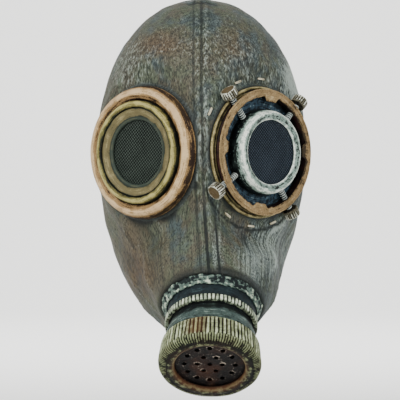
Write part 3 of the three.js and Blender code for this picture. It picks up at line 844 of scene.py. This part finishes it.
    def seam_offset(self, points: np.ndarray) -> np.ndarray:
        """Distance to the side of the seam for each corner, large behind the crown."""
        z = points[:, 2] + CROWN_DROP
        sway = self.at_height(4, z) * smooth(20, 80, -points[:, 1])
        return np.where(points[:, 1] < 4, points[:, 0] - sway, 60)

    def rays(self, points: np.ndarray) -> tuple:
        """Angle round the valve from straight up, and distance from its axis, for each corner."""
        offset = points - np.array(VALVE_STAND.origin)
        angle = np.arctan2(offset @ np.array(VALVE_STAND.right), offset @ np.array(VALVE_STAND.up))
        return angle, VALVE_STAND.polar(points)[0]

    def folds(self, points: np.ndarray) -> np.ndarray:
        """Slack latex that runs up the cheeks from the valve: 1 on a crest and -1 in a valley."""
        angle, reach = self.rays(points)
        wave = np.abs(np.sin(6.5 * angle + 1.3 * noise_at(points, 32, 41.0)))
        fade = smooth(46, 56, reach) * smooth(125, 75, reach) * smooth(-10, -30, points[:, 1])
        return (1 - 2 * wave**0.7) * fade * smooth(9, 20, np.abs(self.seam_offset(points)))

    def sculpted(self, obj: bpy.types.Object) -> None:
        """Raises the seam's beads and draws the folds, dents and unevenness of cast latex."""
        points = corners(obj)
        normals = np.empty(points.size)
        obj.data.vertices.foreach_get("normal", normals)
        normals = normals.reshape(-1, 3)
        x, y, z = points[:, 0], points[:, 1], points[:, 2] + CROWN_DROP
        off = self.seam_offset(points)
        near_plain, near_screw, near_valve = (
            stand.polar(points)[0] for stand in (PLAIN_STAND, SCREW_STAND, VALVE_STAND)
        )
        free = smooth(59, 66, near_plain) * smooth(67, 74, near_screw) * smooth(44, 56, near_valve)
        upper, lower = (np.interp(off, *zip(*rows)) for rows in (self.upper_bead, self.lower_bead))
        bead = upper + (lower - upper) * self.low(points)
        bead = bead * smooth(60, 64, near_plain) * smooth(68, 71, near_screw)
        bead = bead * smooth(46, 50, near_valve)
        flap = bell(y + 0.08 * x, -31, 2.2) * smooth(17, 12, np.abs(x - 1)) * (z > 90)
        dent = 1.1 * noise_at(points, 34, 11.3) + 0.6 * noise_at(points, 14, 3.7)
        dent = dent + 0.4 * noise_at(points * np.array((1, 1, 0.35)), 7, 23.1)
        move = bead + 1.2 * flap + free * (dent + 1.3 * self.folds(points))
        reshape(obj, points + normals * move[:, None])

    def low(self, points: np.ndarray) -> np.ndarray:
        """How far a corner belongs to the lower face, where the brush went out from the valve."""
        return smooth(-35, -75, points[:, 2] + CROWN_DROP) * smooth(10, -20, points[:, 1])

    def painted(self, obj: bpy.types.Object, outer: int) -> None:
        """Marks where the wash and painted shade lie, where the pale brush and painted highlights went,
        and where rust shows.

        Args:
            obj: the hood.
            outer: how many of its corners are on the outer face, counted from the first.
        """
        points = corners(obj)
        x, y, z = points[:, 0], points[:, 1], points[:, 2] + CROWN_DROP
        near_plain, near_screw = (stand.polar(points)[0] for stand in (PLAIN_STAND, SCREW_STAND))
        near_valve, high_valve = VALVE_STAND.polar(points)
        front = smooth(5, -15, y)
        fold, off = self.folds(points), self.seam_offset(points)
        torn = noise_at(points, 5, 33.0)
        # The wash attribute: painted shade round the foot of each eye and of the valve, in fold valleys
        # and over the whole inside, lightened beside the seam below the eyes; also dark flecks along the
        # flange's torn edge, darker towards the back, and a dark line in front of the crown's flap.
        wash_and_shade = np.exp(-np.maximum(near_plain - 59, 0) / 3.2)
        wash_and_shade = wash_and_shade + 0.9 * np.exp(-np.maximum(near_screw - 57, 0) / 3.4)
        wash_and_shade = wash_and_shade + 0.9 * bell(near_screw - 1.5 * torn, 68, 1.5) * smooth(10, -40, z)
        wash_and_shade = wash_and_shade + np.exp(-np.maximum(near_valve - 43, 0) / 4) * smooth(-14, -3, high_valve)
        wash_and_shade = wash_and_shade - 0.6 * bell(off, 0, 9) * bell(z, -28, 12)
        wash_and_shade = np.clip(wash_and_shade * front, 0, 1.2) + 0.3 * smooth(60, 100, y)
        wash_and_shade = wash_and_shade + 0.45 * np.maximum(-fold, 0)
        flap_edge = bell(y + 0.08 * x, -36, 2.4) * smooth(16, 12, np.abs(x - 1)) * (z > 90)
        wash_and_shade = wash_and_shade + 0.9 * flap_edge
        pale, rust = (
            front * sum(row.amount * bell(x, row.x, row.wide) * bell(z, row.z, row.tall) for row in rows)
            for rows in (self.brushed_and_highlit, self.rusted)
        )
        # painted highlight on the seam's bead crests and on the fold crests, stronger on the right
        crest = bell(off - 1.2 * self.low(points), 3.6, 1.8) + 0.5 * bell(off, -3.6, 1.3)
        pale = pale + 0.15 * crest * front
        pale = pale + 0.35 * np.maximum(fold, 0) * (0.5 + 0.5 * smooth(0, 40, x))
        pale = pale + 0.6 * bell(near_plain, 59.3, 0.8) * front
        pale = pale + 0.25 * bell(near_screw, 65.2, 0.9) * front * smooth(0.1, 0.4, torn)
        # painted shade over the whole inside face
        wash_and_shade[outer:] = 1.2
        angle, reach = self.rays(points)
        values = {"wash_and_shade": wash_and_shade, "pale": pale, "rust": rust, "seam": off, "low": self.low(points),
                  "ray": 60 * angle, "reach": reach}
        for name, value in values.items():
            mark(obj, name, value)

    def opened(self, obj: bpy.types.Object) -> None:
        """Cuts the neck and a round hole at each eye and at the valve."""
        slope = math.atan(0.62)
        with editing(obj):
            bpy.ops.mesh.bisect(plane_co=(0, -66, -165.5 - CROWN_DROP),
                                plane_no=(0, -math.sin(slope), math.cos(slope)), clear_inner=True)
        shell = bmesh.new()
        shell.from_mesh(obj.data)
        for stand, radius in ((PLAIN_STAND, 30), (SCREW_STAND, 30), (VALVE_STAND, 33)):
            centres = np.array([face.calc_center_median() for face in shell.faces])
            distance, height = stand.polar(centres)
            inside = (distance < radius) & (np.abs(height) < 3)
            shell.faces.ensure_lookup_table()
            bmesh.ops.delete(shell, geom=[shell.faces[k] for k in np.flatnonzero(inside)],
                             context="FACES")
            edge = {v for e in shell.edges if e.is_boundary for v in e.verts}
            for vertex in edge:
                offset = vertex.co - stand.origin
                height = offset.dot(stand.out)
                flat = offset - stand.out * height
                if abs(height) < 3 and flat.length < radius + 3:
                    vertex.co = stand.origin + flat.normalized() * radius + stand.out * height
        shell.to_mesh(obj.data)
        shell.free()

    def build(self) -> None:
        """Makes the hood and dresses it."""
        body = self.loft()
        others = [
            self.disc(VALVE_STAND, 45, 37, -38, 0),
            self.disc(PLAIN_STAND, 58.5, 58.5, -8, 0),
            self.disc(SCREW_STAND, 58.5, 58.5, -8, 0),
            self.disc(SCREW_STAND, 66, 66, -7, -3.2),
        ]
        merged([body, *others])
        body.name = "hood_skin"
        apply(body, "REMESH", mode="VOXEL", voxel_size=self.voxel)
        apply(body, "SMOOTH", factor=0.5, iterations=3)
        self.sculpted(body)
        self.opened(body)
        outer = len(body.data.vertices)
        apply(body, "SOLIDIFY", thickness=self.wall, offset=-1.0, use_rim=True)
        self.painted(body, outer)
        finished(body, None, 60)
        dressed(body, Paint.HOOD, "hood_latex", "hood")


@dataclass
class PlainEye:
    """Plain eye: a broad rim, a ring and a sloping dish round a woven screen."""

    sides: int = 144
    # Corners of each section, as in Row: radius, height, tone and, for a few, tint
    rim: tuple = ((45.6, 0.3, 0), (58, 0.3, 0.15), (58.0, 1.6, 0.42), (57.9, 3, -0.05),
                  (57.0, 6.6, 0.1), (55.4, 9.2, 0.8), (53, 11, 0.95), (50.6, 11.3, 0.85),
                  (49.0, 10.4, 0.3), (47.6, 9.2, 0.35), (46.4, 8.6, 0.1), (45.6, 7.4, -0.2))
    ring: tuple = ((38.9, 0.3, 0), (45.3, 0.3, -0.2), (45.3, 10, -0.2), (45.0, 12, 0.3),
                   (43.8, 14.2, 0.9), (42.2, 15, 0.95), (40.6, 14.7, 0.6), (39.3, 13.8, 0.15),
                   (38.9, 12.6, -0.2))
    dish: tuple = ((34.5, 0.3, 0), (38.6, 0.3, 0), (38.6, 12.2, -0.2), (38.0, 12.9, 0.3),
                   (36.4, 12.4, 0.65), (33.6, 11.2, 0.6), (31.6, 10.8, 0.4),
                   (30.6, 11.1, -0.1, 0.6), (29.4, 11.1, 0.35, 1), (28.2, 10.2, 0.1, 1),
                   (28, 8.6, -0.2, 1), (34.5, 8.6, -0.2))

    def build(self) -> None:
        """Makes the four pieces and dresses them."""
        plan = (
            ("rim", self.rim, Paint.RIM, 0.5, 17.0),
            ("ring", self.ring, Paint.RING, 0.25, 27.0),
            ("dish", self.dish, Paint.DISH, 0.2, 37.0),
        )
        for word, rows, paint, uneven, seed in plan:
            obj = turned(f"plain_{word}_moulding", list(rows), self.sides, hand_cut(uneven, 22, seed))
            dressed(finished(obj, PLAIN_STAND), paint, f"plain_{word}_paint", f"plain_eye_{word}")
        mesh = screen("plain_screen_weave", 34.2, 7, 2.2, PLAIN_STAND, 40)
        dressed(mesh, Paint.PLAIN_MESH, "screen_mesh", "plain_eye_screen")


@dataclass
class ScrewEye:
    """Screwed eye: a lens ring held in a dark well by four thumb screws, under a torn plate."""

    sides: int = 144
    screw_angles: tuple = (45, 128, 212, 304)
    staple_angles: tuple = (85, 110, 148, 238, 264, 288)
    screw_height: float = 5.2
    pitch: float = 2.0
    thread: float = 2.9
    core: float = 2.15
    # Corners of each section, as in Row: radius, height, tone and, for a few, tint
    base: tuple = ((52.5, 0.3, 0), (57.5, 0.3, 0.1), (57.5, 1.6, 0.6), (57.1, 2.7, 0.85),
                   (56.0, 3.2, 0.7), (54.6, 2.5, 0), (53.4, 3.1, 0.6), (52.5, 3.0, 0.1))
    wall: tuple = ((48.4, 0.3, 0), (52.2, 0.3, 0), (52.2, 3.0, 0.1), (51.6, 4.4, 0.5),
                   (52.0, 5.8, 0.1), (51.6, 7.2, 0.4), (52.2, 8.8, 0.0), (48.4, 8.8, 0))
    well: tuple = ((37.1, 0.3, 0), (48.1, 0.3, 0), (48.1, 1.3, 0.1), (42, 1.1, 0.45),
                   (37.1, 1.3, 0.1))
    # The lens ring's lower flank is toned dark: painted shade.
    lens: tuple = ((31.6, 0.3, 0), (36.8, 0.3, 0), (36.8, 8.5, -0.2), (36.7, 12.5, 0.25),
                   (35.8, 15.8, 0.85), (34.4, 18.1, 0.95), (33.0, 18.7, 0.6), (31.4, 18.2, 0.2),
                   (30.1, 17.7, 0.25), (29.0, 17.2, 0.6), (28.1, 16.6, 1.1), (28, 15.2, 0.2),
                   (31.6, 15.2, 0))
    plate: tuple = ((48.4, 9.1, 0.1), (51, 9.1, 0.4), (55, 9.1, 0.1), (55.2, 9.8, 0.35),
                    (54.8, 10.4, 0.7), (53.6, 10.1, 0.35), (51, 10.3, 0.6), (48.4, 10.4, 0.5))
    # Tabs of the torn plate: angle, half width in degrees and reach
    tabs: tuple = ((2, 8, 3.6), (82, 9, 3.8), (175, 7, 3.2), (262, 9, 3.4))
    knob: tuple = ((0, 59.3, 0.1), (6.2, 59.3, 0.1), (7.2, 60.2, 0.55), (7.2, 66.5, 0.75),
                   (6.5, 67.3, 0.8), (5.6, 67.2, 0.5, 0.5), (5.0, 66.8, 0.3, 1),
                   (2.4, 66.7, 0.5, 1), (0, 66.9, 0.5, 1))

    def radial(self, degrees: float) -> Matrix:
        """Turns the axis to point outwards at an angle, at the screws' height."""
        turn = Matrix.Rotation(math.radians(degrees), 4, "Z") @ Matrix.Rotation(math.pi / 2, 4, "Y")
        return Matrix.Translation((0, 0, self.screw_height)) @ turn

    def torn(self, angle, radius, height, tone):
        """Tears the plate's inner edge, with its tabs, frets the outer one, darkens the torn edge and
        paints shade on the plate's right-hand side.
        """
        degrees = np.mod(np.degrees(angle), 360)
        round_edge = around(angle, 48, 0)
        rough = 0.9 * noise_at(round_edge, 4.0, 51.0) + 0.5 * noise_at(round_edge, 1.5, 61.0)
        reach = rough + 0.2
        for at, half, out in self.tabs:
            away = turned_from(degrees, at)
            reach = reach + out * (1 - smooth(half * 0.72, half * 1.08, away))
            reach = reach - 0.8 * bell(away, half * 1.3, 1.5)
        share = np.clip((53 - radius) / 4.6, 0, 1)
        curl = 0.35 * noise_at(round_edge, 16, 71.0)
        fret = 0.25 * noise_at(round_edge, 3, 81.0) * (radius > 53)
        edge_dark_and_side_shade = 0.45 * smooth(0.75, 1.0, share) * (rough > 0.1)
        # painted shade: the plate darker on its right-hand side
        edge_dark_and_side_shade = edge_dark_and_side_shade + 0.35 * smooth(0.3, 0.9, np.cos(angle - 0.2)) * smooth(0.2, 0.6, share)
        return radius - share * reach + fret, height + curl * share, tone - edge_dark_and_side_shade

    def threaded(self, angle, radius, height, tone):
        """Cuts a helical thread into a rod, toned pale on the crests and dark in the roots: painted
        highlight and painted shade.
        """
        turn = np.mod(height / self.pitch - angle / math.tau, 1)
        crest = 1 - np.abs(2 * turn - 1)
        outer = radius > 1
        grown = np.where(outer, self.core + (self.thread - self.core) * crest, radius)
        return grown, height, np.where(outer, crest * 1.1 - 0.1, tone)

    def rings(self) -> None:
        """Makes the base, wall, well, lens ring and torn plate."""
        plan = (
            ("screw_base_moulding", self.base, Paint.BASE, "base_paint", "screw_eye_base",
             hand_cut(0.3, 18, 7.0), 2),
            ("screw_wall_moulding", self.wall, Paint.WALL, "wall_paint", "screw_eye_wall",
             hand_cut(0.15, 18, 9.0), 2),
            ("screw_well_floor", self.well, Paint.WELL, "well_paint", "screw_eye_well",
             hand_cut(0.4, 6, 13.0), 1),
            ("lens_ring_moulding", self.lens, Paint.SILVER, "silver_paint", "screw_eye_lens_ring",
             hand_cut(0.3, 8, 19.0), 2),
            ("torn_copper_plate", self.plate, Paint.PLATE, "copper_paint", "screw_eye_plate",
             self.torn, 1),
        )
        for name, rows, paint, slot, node, shape, rounds in plan:
            sides = 360 if node == "screw_eye_plate" else self.sides
            obj = turned(name, list(rows), sides, shape, rounds)
            if node in ("screw_eye_base", "screw_eye_wall"):
                self.bored(obj)
            dressed(finished(obj, SCREW_STAND), paint, slot, node)

    def bored(self, obj: bpy.types.Object) -> None:
        """Bores the four screw holes through a ring."""
        drills = []
        for degrees in self.screw_angles:
            drill = fresh(bpy.ops.mesh.primitive_cylinder_add, vertices=24,
                          radius=self.thread + 0.3, depth=22, location=(0, 0, 48))
            drill.data.transform(self.radial(degrees))
            drills.append(drill)
        bore(obj, drills)

    def screws(self) -> None:
        """Makes the four threaded rods and their knurled knobs."""
        heights = np.arange(37.2, 59.05, 0.33)
        rod = [(0, 37.2, 0.4)] + [(self.core, float(h), 0.5) for h in heights] + [(0, 59.0, 0.4)]
        for k, degrees in enumerate(self.screw_angles, 1):
            obj = turned(f"thumb_screw_{k}", rod, 24, self.threaded, 0)
            obj.data.transform(self.radial(degrees))
            dressed(finished(obj, SCREW_STAND, 30), Paint.SCREW, "screw_metal", f"screw_eye_screw_{k}")
            obj = turned(f"thumb_knob_{k}", list(self.knob), 20 * 8,
                         both(hand_cut(0.2, 5, 3.0 * k), ridged(20, 1.0, 5.9, 60.2, 66.8, k)), 1)
            obj.data.transform(self.radial(degrees))
            dressed(finished(obj, SCREW_STAND), Paint.KNOB, "screw_metal", f"screw_eye_knob_{k}")

    def staples(self) -> None:
        """Makes the wire staples that lie on the flange, with their bent ends."""
        for k, degrees in enumerate(self.staple_angles, 1):
            obj = fresh(bpy.ops.mesh.primitive_cube_add, size=1)
            obj.name = f"wire_staple_{k}"
            size = Matrix.Diagonal((7.8, 1.7, 1.45, 1))
            obj.data.transform(Matrix.Translation((0, 0, -2.15)) @ size)
            with editing(obj):
                bpy.ops.mesh.subdivide(number_cuts=5)
            points = corners(obj)
            end = smooth(2.4, 3.9, np.abs(points[:, 0]))
            points[:, 2] -= 0.5 * end * (points[:, 2] > -2.4)
            points[:, 1] *= 1 - 0.25 * end
            reshape(obj, points)
            apply(obj, "BEVEL", width=0.3, segments=2, limit_method="ANGLE")
            points = corners(obj)
            mark(obj, "tone", 0.2 + 0.7 * smooth(-2.7, -1.5, points[:, 2]))
            mark(obj, "tint", np.zeros(len(points)))
            mark(obj, "across", points[:, 1])
            place = Matrix.Rotation(math.radians(degrees), 4, "Z") @ Matrix.Translation((64.6, 0, 0))
            obj.data.transform(place @ Matrix.Rotation(math.pi / 2, 4, "Z"))
            dressed(finished(obj, SCREW_STAND), Paint.STAPLE, "staple_metal", f"screw_eye_staple_{k}")

    def build(self) -> None:
        """Makes all the eye's pieces."""
        self.rings()
        self.screws()
        self.staples()
        mesh = screen("lens_screen_weave", 31.3, 13.6, 2.1, SCREW_STAND, 48)
        dressed(mesh, Paint.SCREW_MESH, "screen_mesh", "screw_eye_screen")


@dataclass
class Canister:
    """Valve and filter: a ragged wrap, a dark valve, a knurled nut, a waist and a ribbed drum."""

    sides: int = 144
    # Corners of each section, as in Row: radius, height, tone and, for a few, tint
    collar: tuple = ((38.1, 0.3, 0), (41.0, 0.3, 0.2), (42.6, 0.4, 0.5), (42.9, 1.6, 0.6),
                     (42.0, 3.2, 0.5), (41.3, 4.6, 0.55), (40.7, 6.2, 0.7), (39.9, 7.6, 0.95),
                     (39.0, 8, 0.8), (38.1, 8, 0.1))
    body: tuple = ((33.5, 0.3, 0.2), (37.8, 0.3, 0.2), (37.8, 10, 0.35), (37.7, 12, 0.45),
                   (37.8, 16.5, 0.25), (37.4, 18.3, 0.4), (35.4, 18.3, 0.1), (35.4, 24.6, 0.1),
                   (33.5, 24.6, 0.1))
    nut: tuple = ((35.7, 18.6, 0.1), (39.2, 18.6, 0.3), (39.6, 19.2, 0.7), (39.6, 24.0, 0.75),
                  (39.1, 24.6, 0.4), (35.7, 24.6, 0.1))
    # The neck's top rows, just under the nut, are toned dark: painted shade.
    neck: tuple = ((31, 24.9, 0.1), (35.2, 24.9, 0.0), (35.2, 27.0, 0.05), (35.8, 28.6, -0.1),
                   (36.6, 30.4, 0.1), (38.2, 35, 0.55), (39.2, 39.5, 0.5), (40.2, 44.4, 0.3),
                   (31, 44.4, 0.1))
    drum: tuple = ((36.8, 44.7, 0), (41.0, 44.7, 0.5), (41.8, 45.6, 0.75), (42.6, 53, 0.6),
                   (43.5, 61.6, 0.75), (43.4, 63.0, 0.6), (42.9, 65.0, 0.4), (41.8, 66.8, 0.3),
                   (39.2, 68.0, 0.3), (36.8, 68.5, 0.05), (36.1, 68.2, -0.3), (35.2, 68.7, 0.1),
                   (33.2, 68.9, 0.2, 0.1), (31.6, 68.6, 0.15, 0.5), (30.3, 67.7, 0.5, 1),
                   (29.6, 65.6, 0.05, 1), (29.6, 64, -0.2), (34, 64, 0), (34, 61, 0),
                   (38.5, 58.5, 0), (38.5, 48, 0))
    grille_radius: float = 33.7
    grille_rings: tuple = ((0, 1), (10.5, 6), (21.5, 12))
    hole: float = 2.1

    def ragged(self, angle, radius, height, tone):
        """Lumps and tears of the wrap, deepest at its two edges."""
        at = around(angle, radius, height)
        lump = noise_at(at, 6, 91.0) + 0.6 * noise_at(at, 2.6, 95.0)
        outer = smooth(38.6, 40.0, radius)
        edge = around(angle, 40, 0)
        tear = noise_at(edge, 5, 99.0) + 0.5 * noise_at(edge, 2, 103.0)
        front = smooth(4, 8, height)
        back = smooth(3, 0.5, height)
        radius = radius + outer * (0.8 * lump + 1.3 * tear * back)
        height = np.maximum(height - 1.6 * front * tear - 0.4 * front, 0.3)
        return radius, height, tone - 0.3 + 0.8 * lump * outer

    def front_ribs(self, angle, radius, height, tone):
        """Finer ribs on the drum's front bevel and a thin dark line round its lip."""
        turn = np.mod(angle, math.tau) / math.tau * 114
        valley = smooth(0.2, 0.5, np.abs(turn - np.floor(turn) - 0.5))
        fade = smooth(62.8, 63.8, height) * smooth(36.4, 37.4, radius)
        drawn = 0.6 * fade * valley
        return radius - drawn, height - drawn, tone + fade * (0.1 - 1.1 * valley)

    def rusty(self, angle, radius, height):
        """Tint of the drum's ribs: one rusty patch to the left of the top, fading round it."""
        away = turned_from(np.degrees(angle), 106)
        return 0.9 * bell(away, 0, 11) * smooth(40, 41, radius) * smooth(63.5, 61, height)

    def grille(self) -> bpy.types.Object:
        """Makes the round plate with its punched breathing holes, each with a raised burr that carries a
        painted glint, strongest on its upper side.
        """
        radii = [self.grille_radius, 31, 28.5, 26, 24.4, 23, 21.5, 20, 18.6, 16.5, 14.5, 12.8, 11.6,
                 10.5, 9.2, 7.6, 5.5, 3.6, 2, 0]
        rows = [(r, 62.2, 0.1) for r in (0, self.grille_radius)] + [(r, 63.2, 0.35) for r in radii]
        obj = turned("filter_grille_plate", rows, 150, hand_cut(0.3, 5, 7.0), 0)
        centres = []
        for radius, holes in self.grille_rings:
            for k in range(holes):
                turn = math.tau * k / holes
                centres.append((radius * math.cos(turn), radius * math.sin(turn)))
        points = corners(obj)
        tone = np.empty(len(points))
        obj.data.attributes["tone"].data.foreach_get("value", tone)
        for x, y in centres:
            away = np.hypot(points[:, 0] - x, points[:, 1] - y)
            burr_and_glint = bell(away, 2.5, 0.6) * (points[:, 2] > 62.7)
            points[:, 2] += 0.45 * burr_and_glint
            # painted glint: each burr is paler, much more so on its upper side
            tone += burr_and_glint * (0.2 + 0.6 * math.sin(7 * x + 3 * y) ** 2 * (points[:, 1] > y))
        reshape(obj, points)
        obj.data.attributes["tone"].data.foreach_set("value", tone.astype(np.float32))
        bore(obj, [fresh(bpy.ops.mesh.primitive_cylinder_add, vertices=16, radius=self.hole,
                         depth=6, location=(x, y, 63)) for x, y in centres])
        return obj

    def build(self) -> None:
        """Makes the six pieces and dresses them."""
        plan = (
            ("ragged_collar_wrap", self.collar, 300, self.ragged, Paint.COLLAR, "collar_latex",
             "valve_collar", None),
            ("valve_tube", self.body, self.sides, hand_cut(0.2, 14, 5.0), Paint.VALVE, "valve_paint",
             "valve_body", None),
            ("knurled_nut", self.nut, 72 * 6,
             both(hand_cut(0.2, 9, 6.0), ridged(72, 0.9, 37, 18.6, 24.6, 2)),
             Paint.NUT, "nut_paint", "valve_nut", None),
            ("filter_waist", self.neck, self.sides, hand_cut(0.25, 16, 8.0), Paint.NECK, "neck_paint",
             "filter_neck", None),
            ("ribbed_filter_drum", self.drum, 76 * 6,
             both(both(hand_cut(0.35, 12, 4.0), ridged(76, 1.4, 40.4, 45.0, 63.2, 5)), self.front_ribs),
             Paint.DRUM, "drum_paint", "filter_drum", self.rusty),
        )
        for name, rows, sides, shape, paint, slot, node, patch in plan:
            obj = turned(name, list(rows), sides, shape, 1 if sides > 400 else 2, patch)
            dressed(finished(obj, VALVE_STAND, 30), paint, slot, node)
        dressed(finished(self.grille(), VALVE_STAND, 30), Paint.GRILLE, "grille_metal", "filter_grille")


@dataclass
class Studio:
    """Pale floor that sweeps up behind, soft lights and a camera level with the nose."""

    distance: float = 1.8
    height: float = -0.1792
    view: float = 0.3632
    sensor: float = 36
    side: float = -0.00136
    floor_z: float = -0.42
    # Name, place, what it lights, width and power of each soft lamp
    lights: tuple = (
        ("key", (-1.1, -1.7, 1.0), (0, 0, -0.15), 1.0, 38.0),
        ("fill", (1.7, -1.6, 0.6), (0, 0, -0.15), 1.2, 16.0),
        ("backdrop", (0, 1.3, 1.6), (0, 4, -0.2), 2.5, 140.0),
    )

    def camera(self) -> None:
        """Sets the camera square to the face."""
        data = bpy.data.cameras.new("studio_camera")
        data.sensor_width = self.sensor
        data.lens = self.sensor * self.distance / self.view
        data.clip_end = 50
        obj = bpy.data.objects.new("studio_camera", data)
        obj.location = (self.side, -self.distance, self.height)
        obj.rotation_euler = (math.radians(90), 0, 0)
        bpy.context.collection.objects.link(obj)
        bpy.context.scene.camera = obj

    def sweep(self) -> None:
        """Makes the floor and the sweep behind it from one plane."""
        floor = fresh(bpy.ops.mesh.primitive_plane_add, size=24, location=(0, -8, self.floor_z))
        floor.name = "studio_floor"
        bpy.ops.object.mode_set(mode="EDIT")
        bpy.ops.mesh.select_all(action="DESELECT")
        bpy.ops.object.mode_set(mode="OBJECT")
        for edge in floor.data.edges:
            edge.select = all(floor.data.vertices[v].co.y > 3 for v in edge.vertices)
        bpy.ops.object.mode_set(mode="EDIT")
        bpy.ops.mesh.select_mode(type="EDGE")
        bpy.ops.mesh.extrude_region_move(TRANSFORM_OT_translate={"value": (0, 0, 4)})
        bpy.ops.object.mode_set(mode="OBJECT")
        apply(floor, "BEVEL", width=1.6, segments=24, limit_method="ANGLE")
        bpy.ops.object.shade_smooth()
        paper = bpy.data.materials.new("matt_backdrop_paper")
        paper.use_nodes = True
        shader = paper.node_tree.nodes["Principled BSDF"]
        shader.inputs["Base Color"].default_value = linear(0xF4F4F2)
        shader.inputs["Roughness"].default_value = 0.9
        floor.data.materials.append(paper)

    def lamps(self) -> None:
        """Hangs the soft lamps and sets the pale surroundings."""
        for name, place, target, size, power in self.lights:
            data = bpy.data.lights.new(f"{name}_softbox", "AREA")
            data.size = size
            data.energy = power
            obj = bpy.data.objects.new(f"{name}_softbox", data)
            obj.location = place
            obj.visible_camera = False
            aim = Vector(target) - Vector(place)
            obj.rotation_euler = aim.to_track_quat("-Z", "Y").to_euler()
            bpy.context.collection.objects.link(obj)
        world = bpy.data.worlds.new("pale_studio")
        world.use_nodes = True
        world.node_tree.nodes["Background"].inputs["Color"].default_value = linear(0xFFFFFF)
        world.node_tree.nodes["Background"].inputs["Strength"].default_value = 0.65
        bpy.context.scene.world = world

    def build(self) -> None:
        """Sets up the studio."""
        self.camera()
        self.sweep()
        self.lamps()


def main() -> None:
    """Builds the mask's sub-assemblies in order, then the studio."""
    logging.basicConfig(level=logging.INFO, format="%(name)s %(message)s")
    for part in (Hood(), PlainEye(), ScrewEye(), Canister(), Studio()):
        part.build()
        log.info("%s is done", type(part).__name__)


if __name__ == "__main__":
    main()
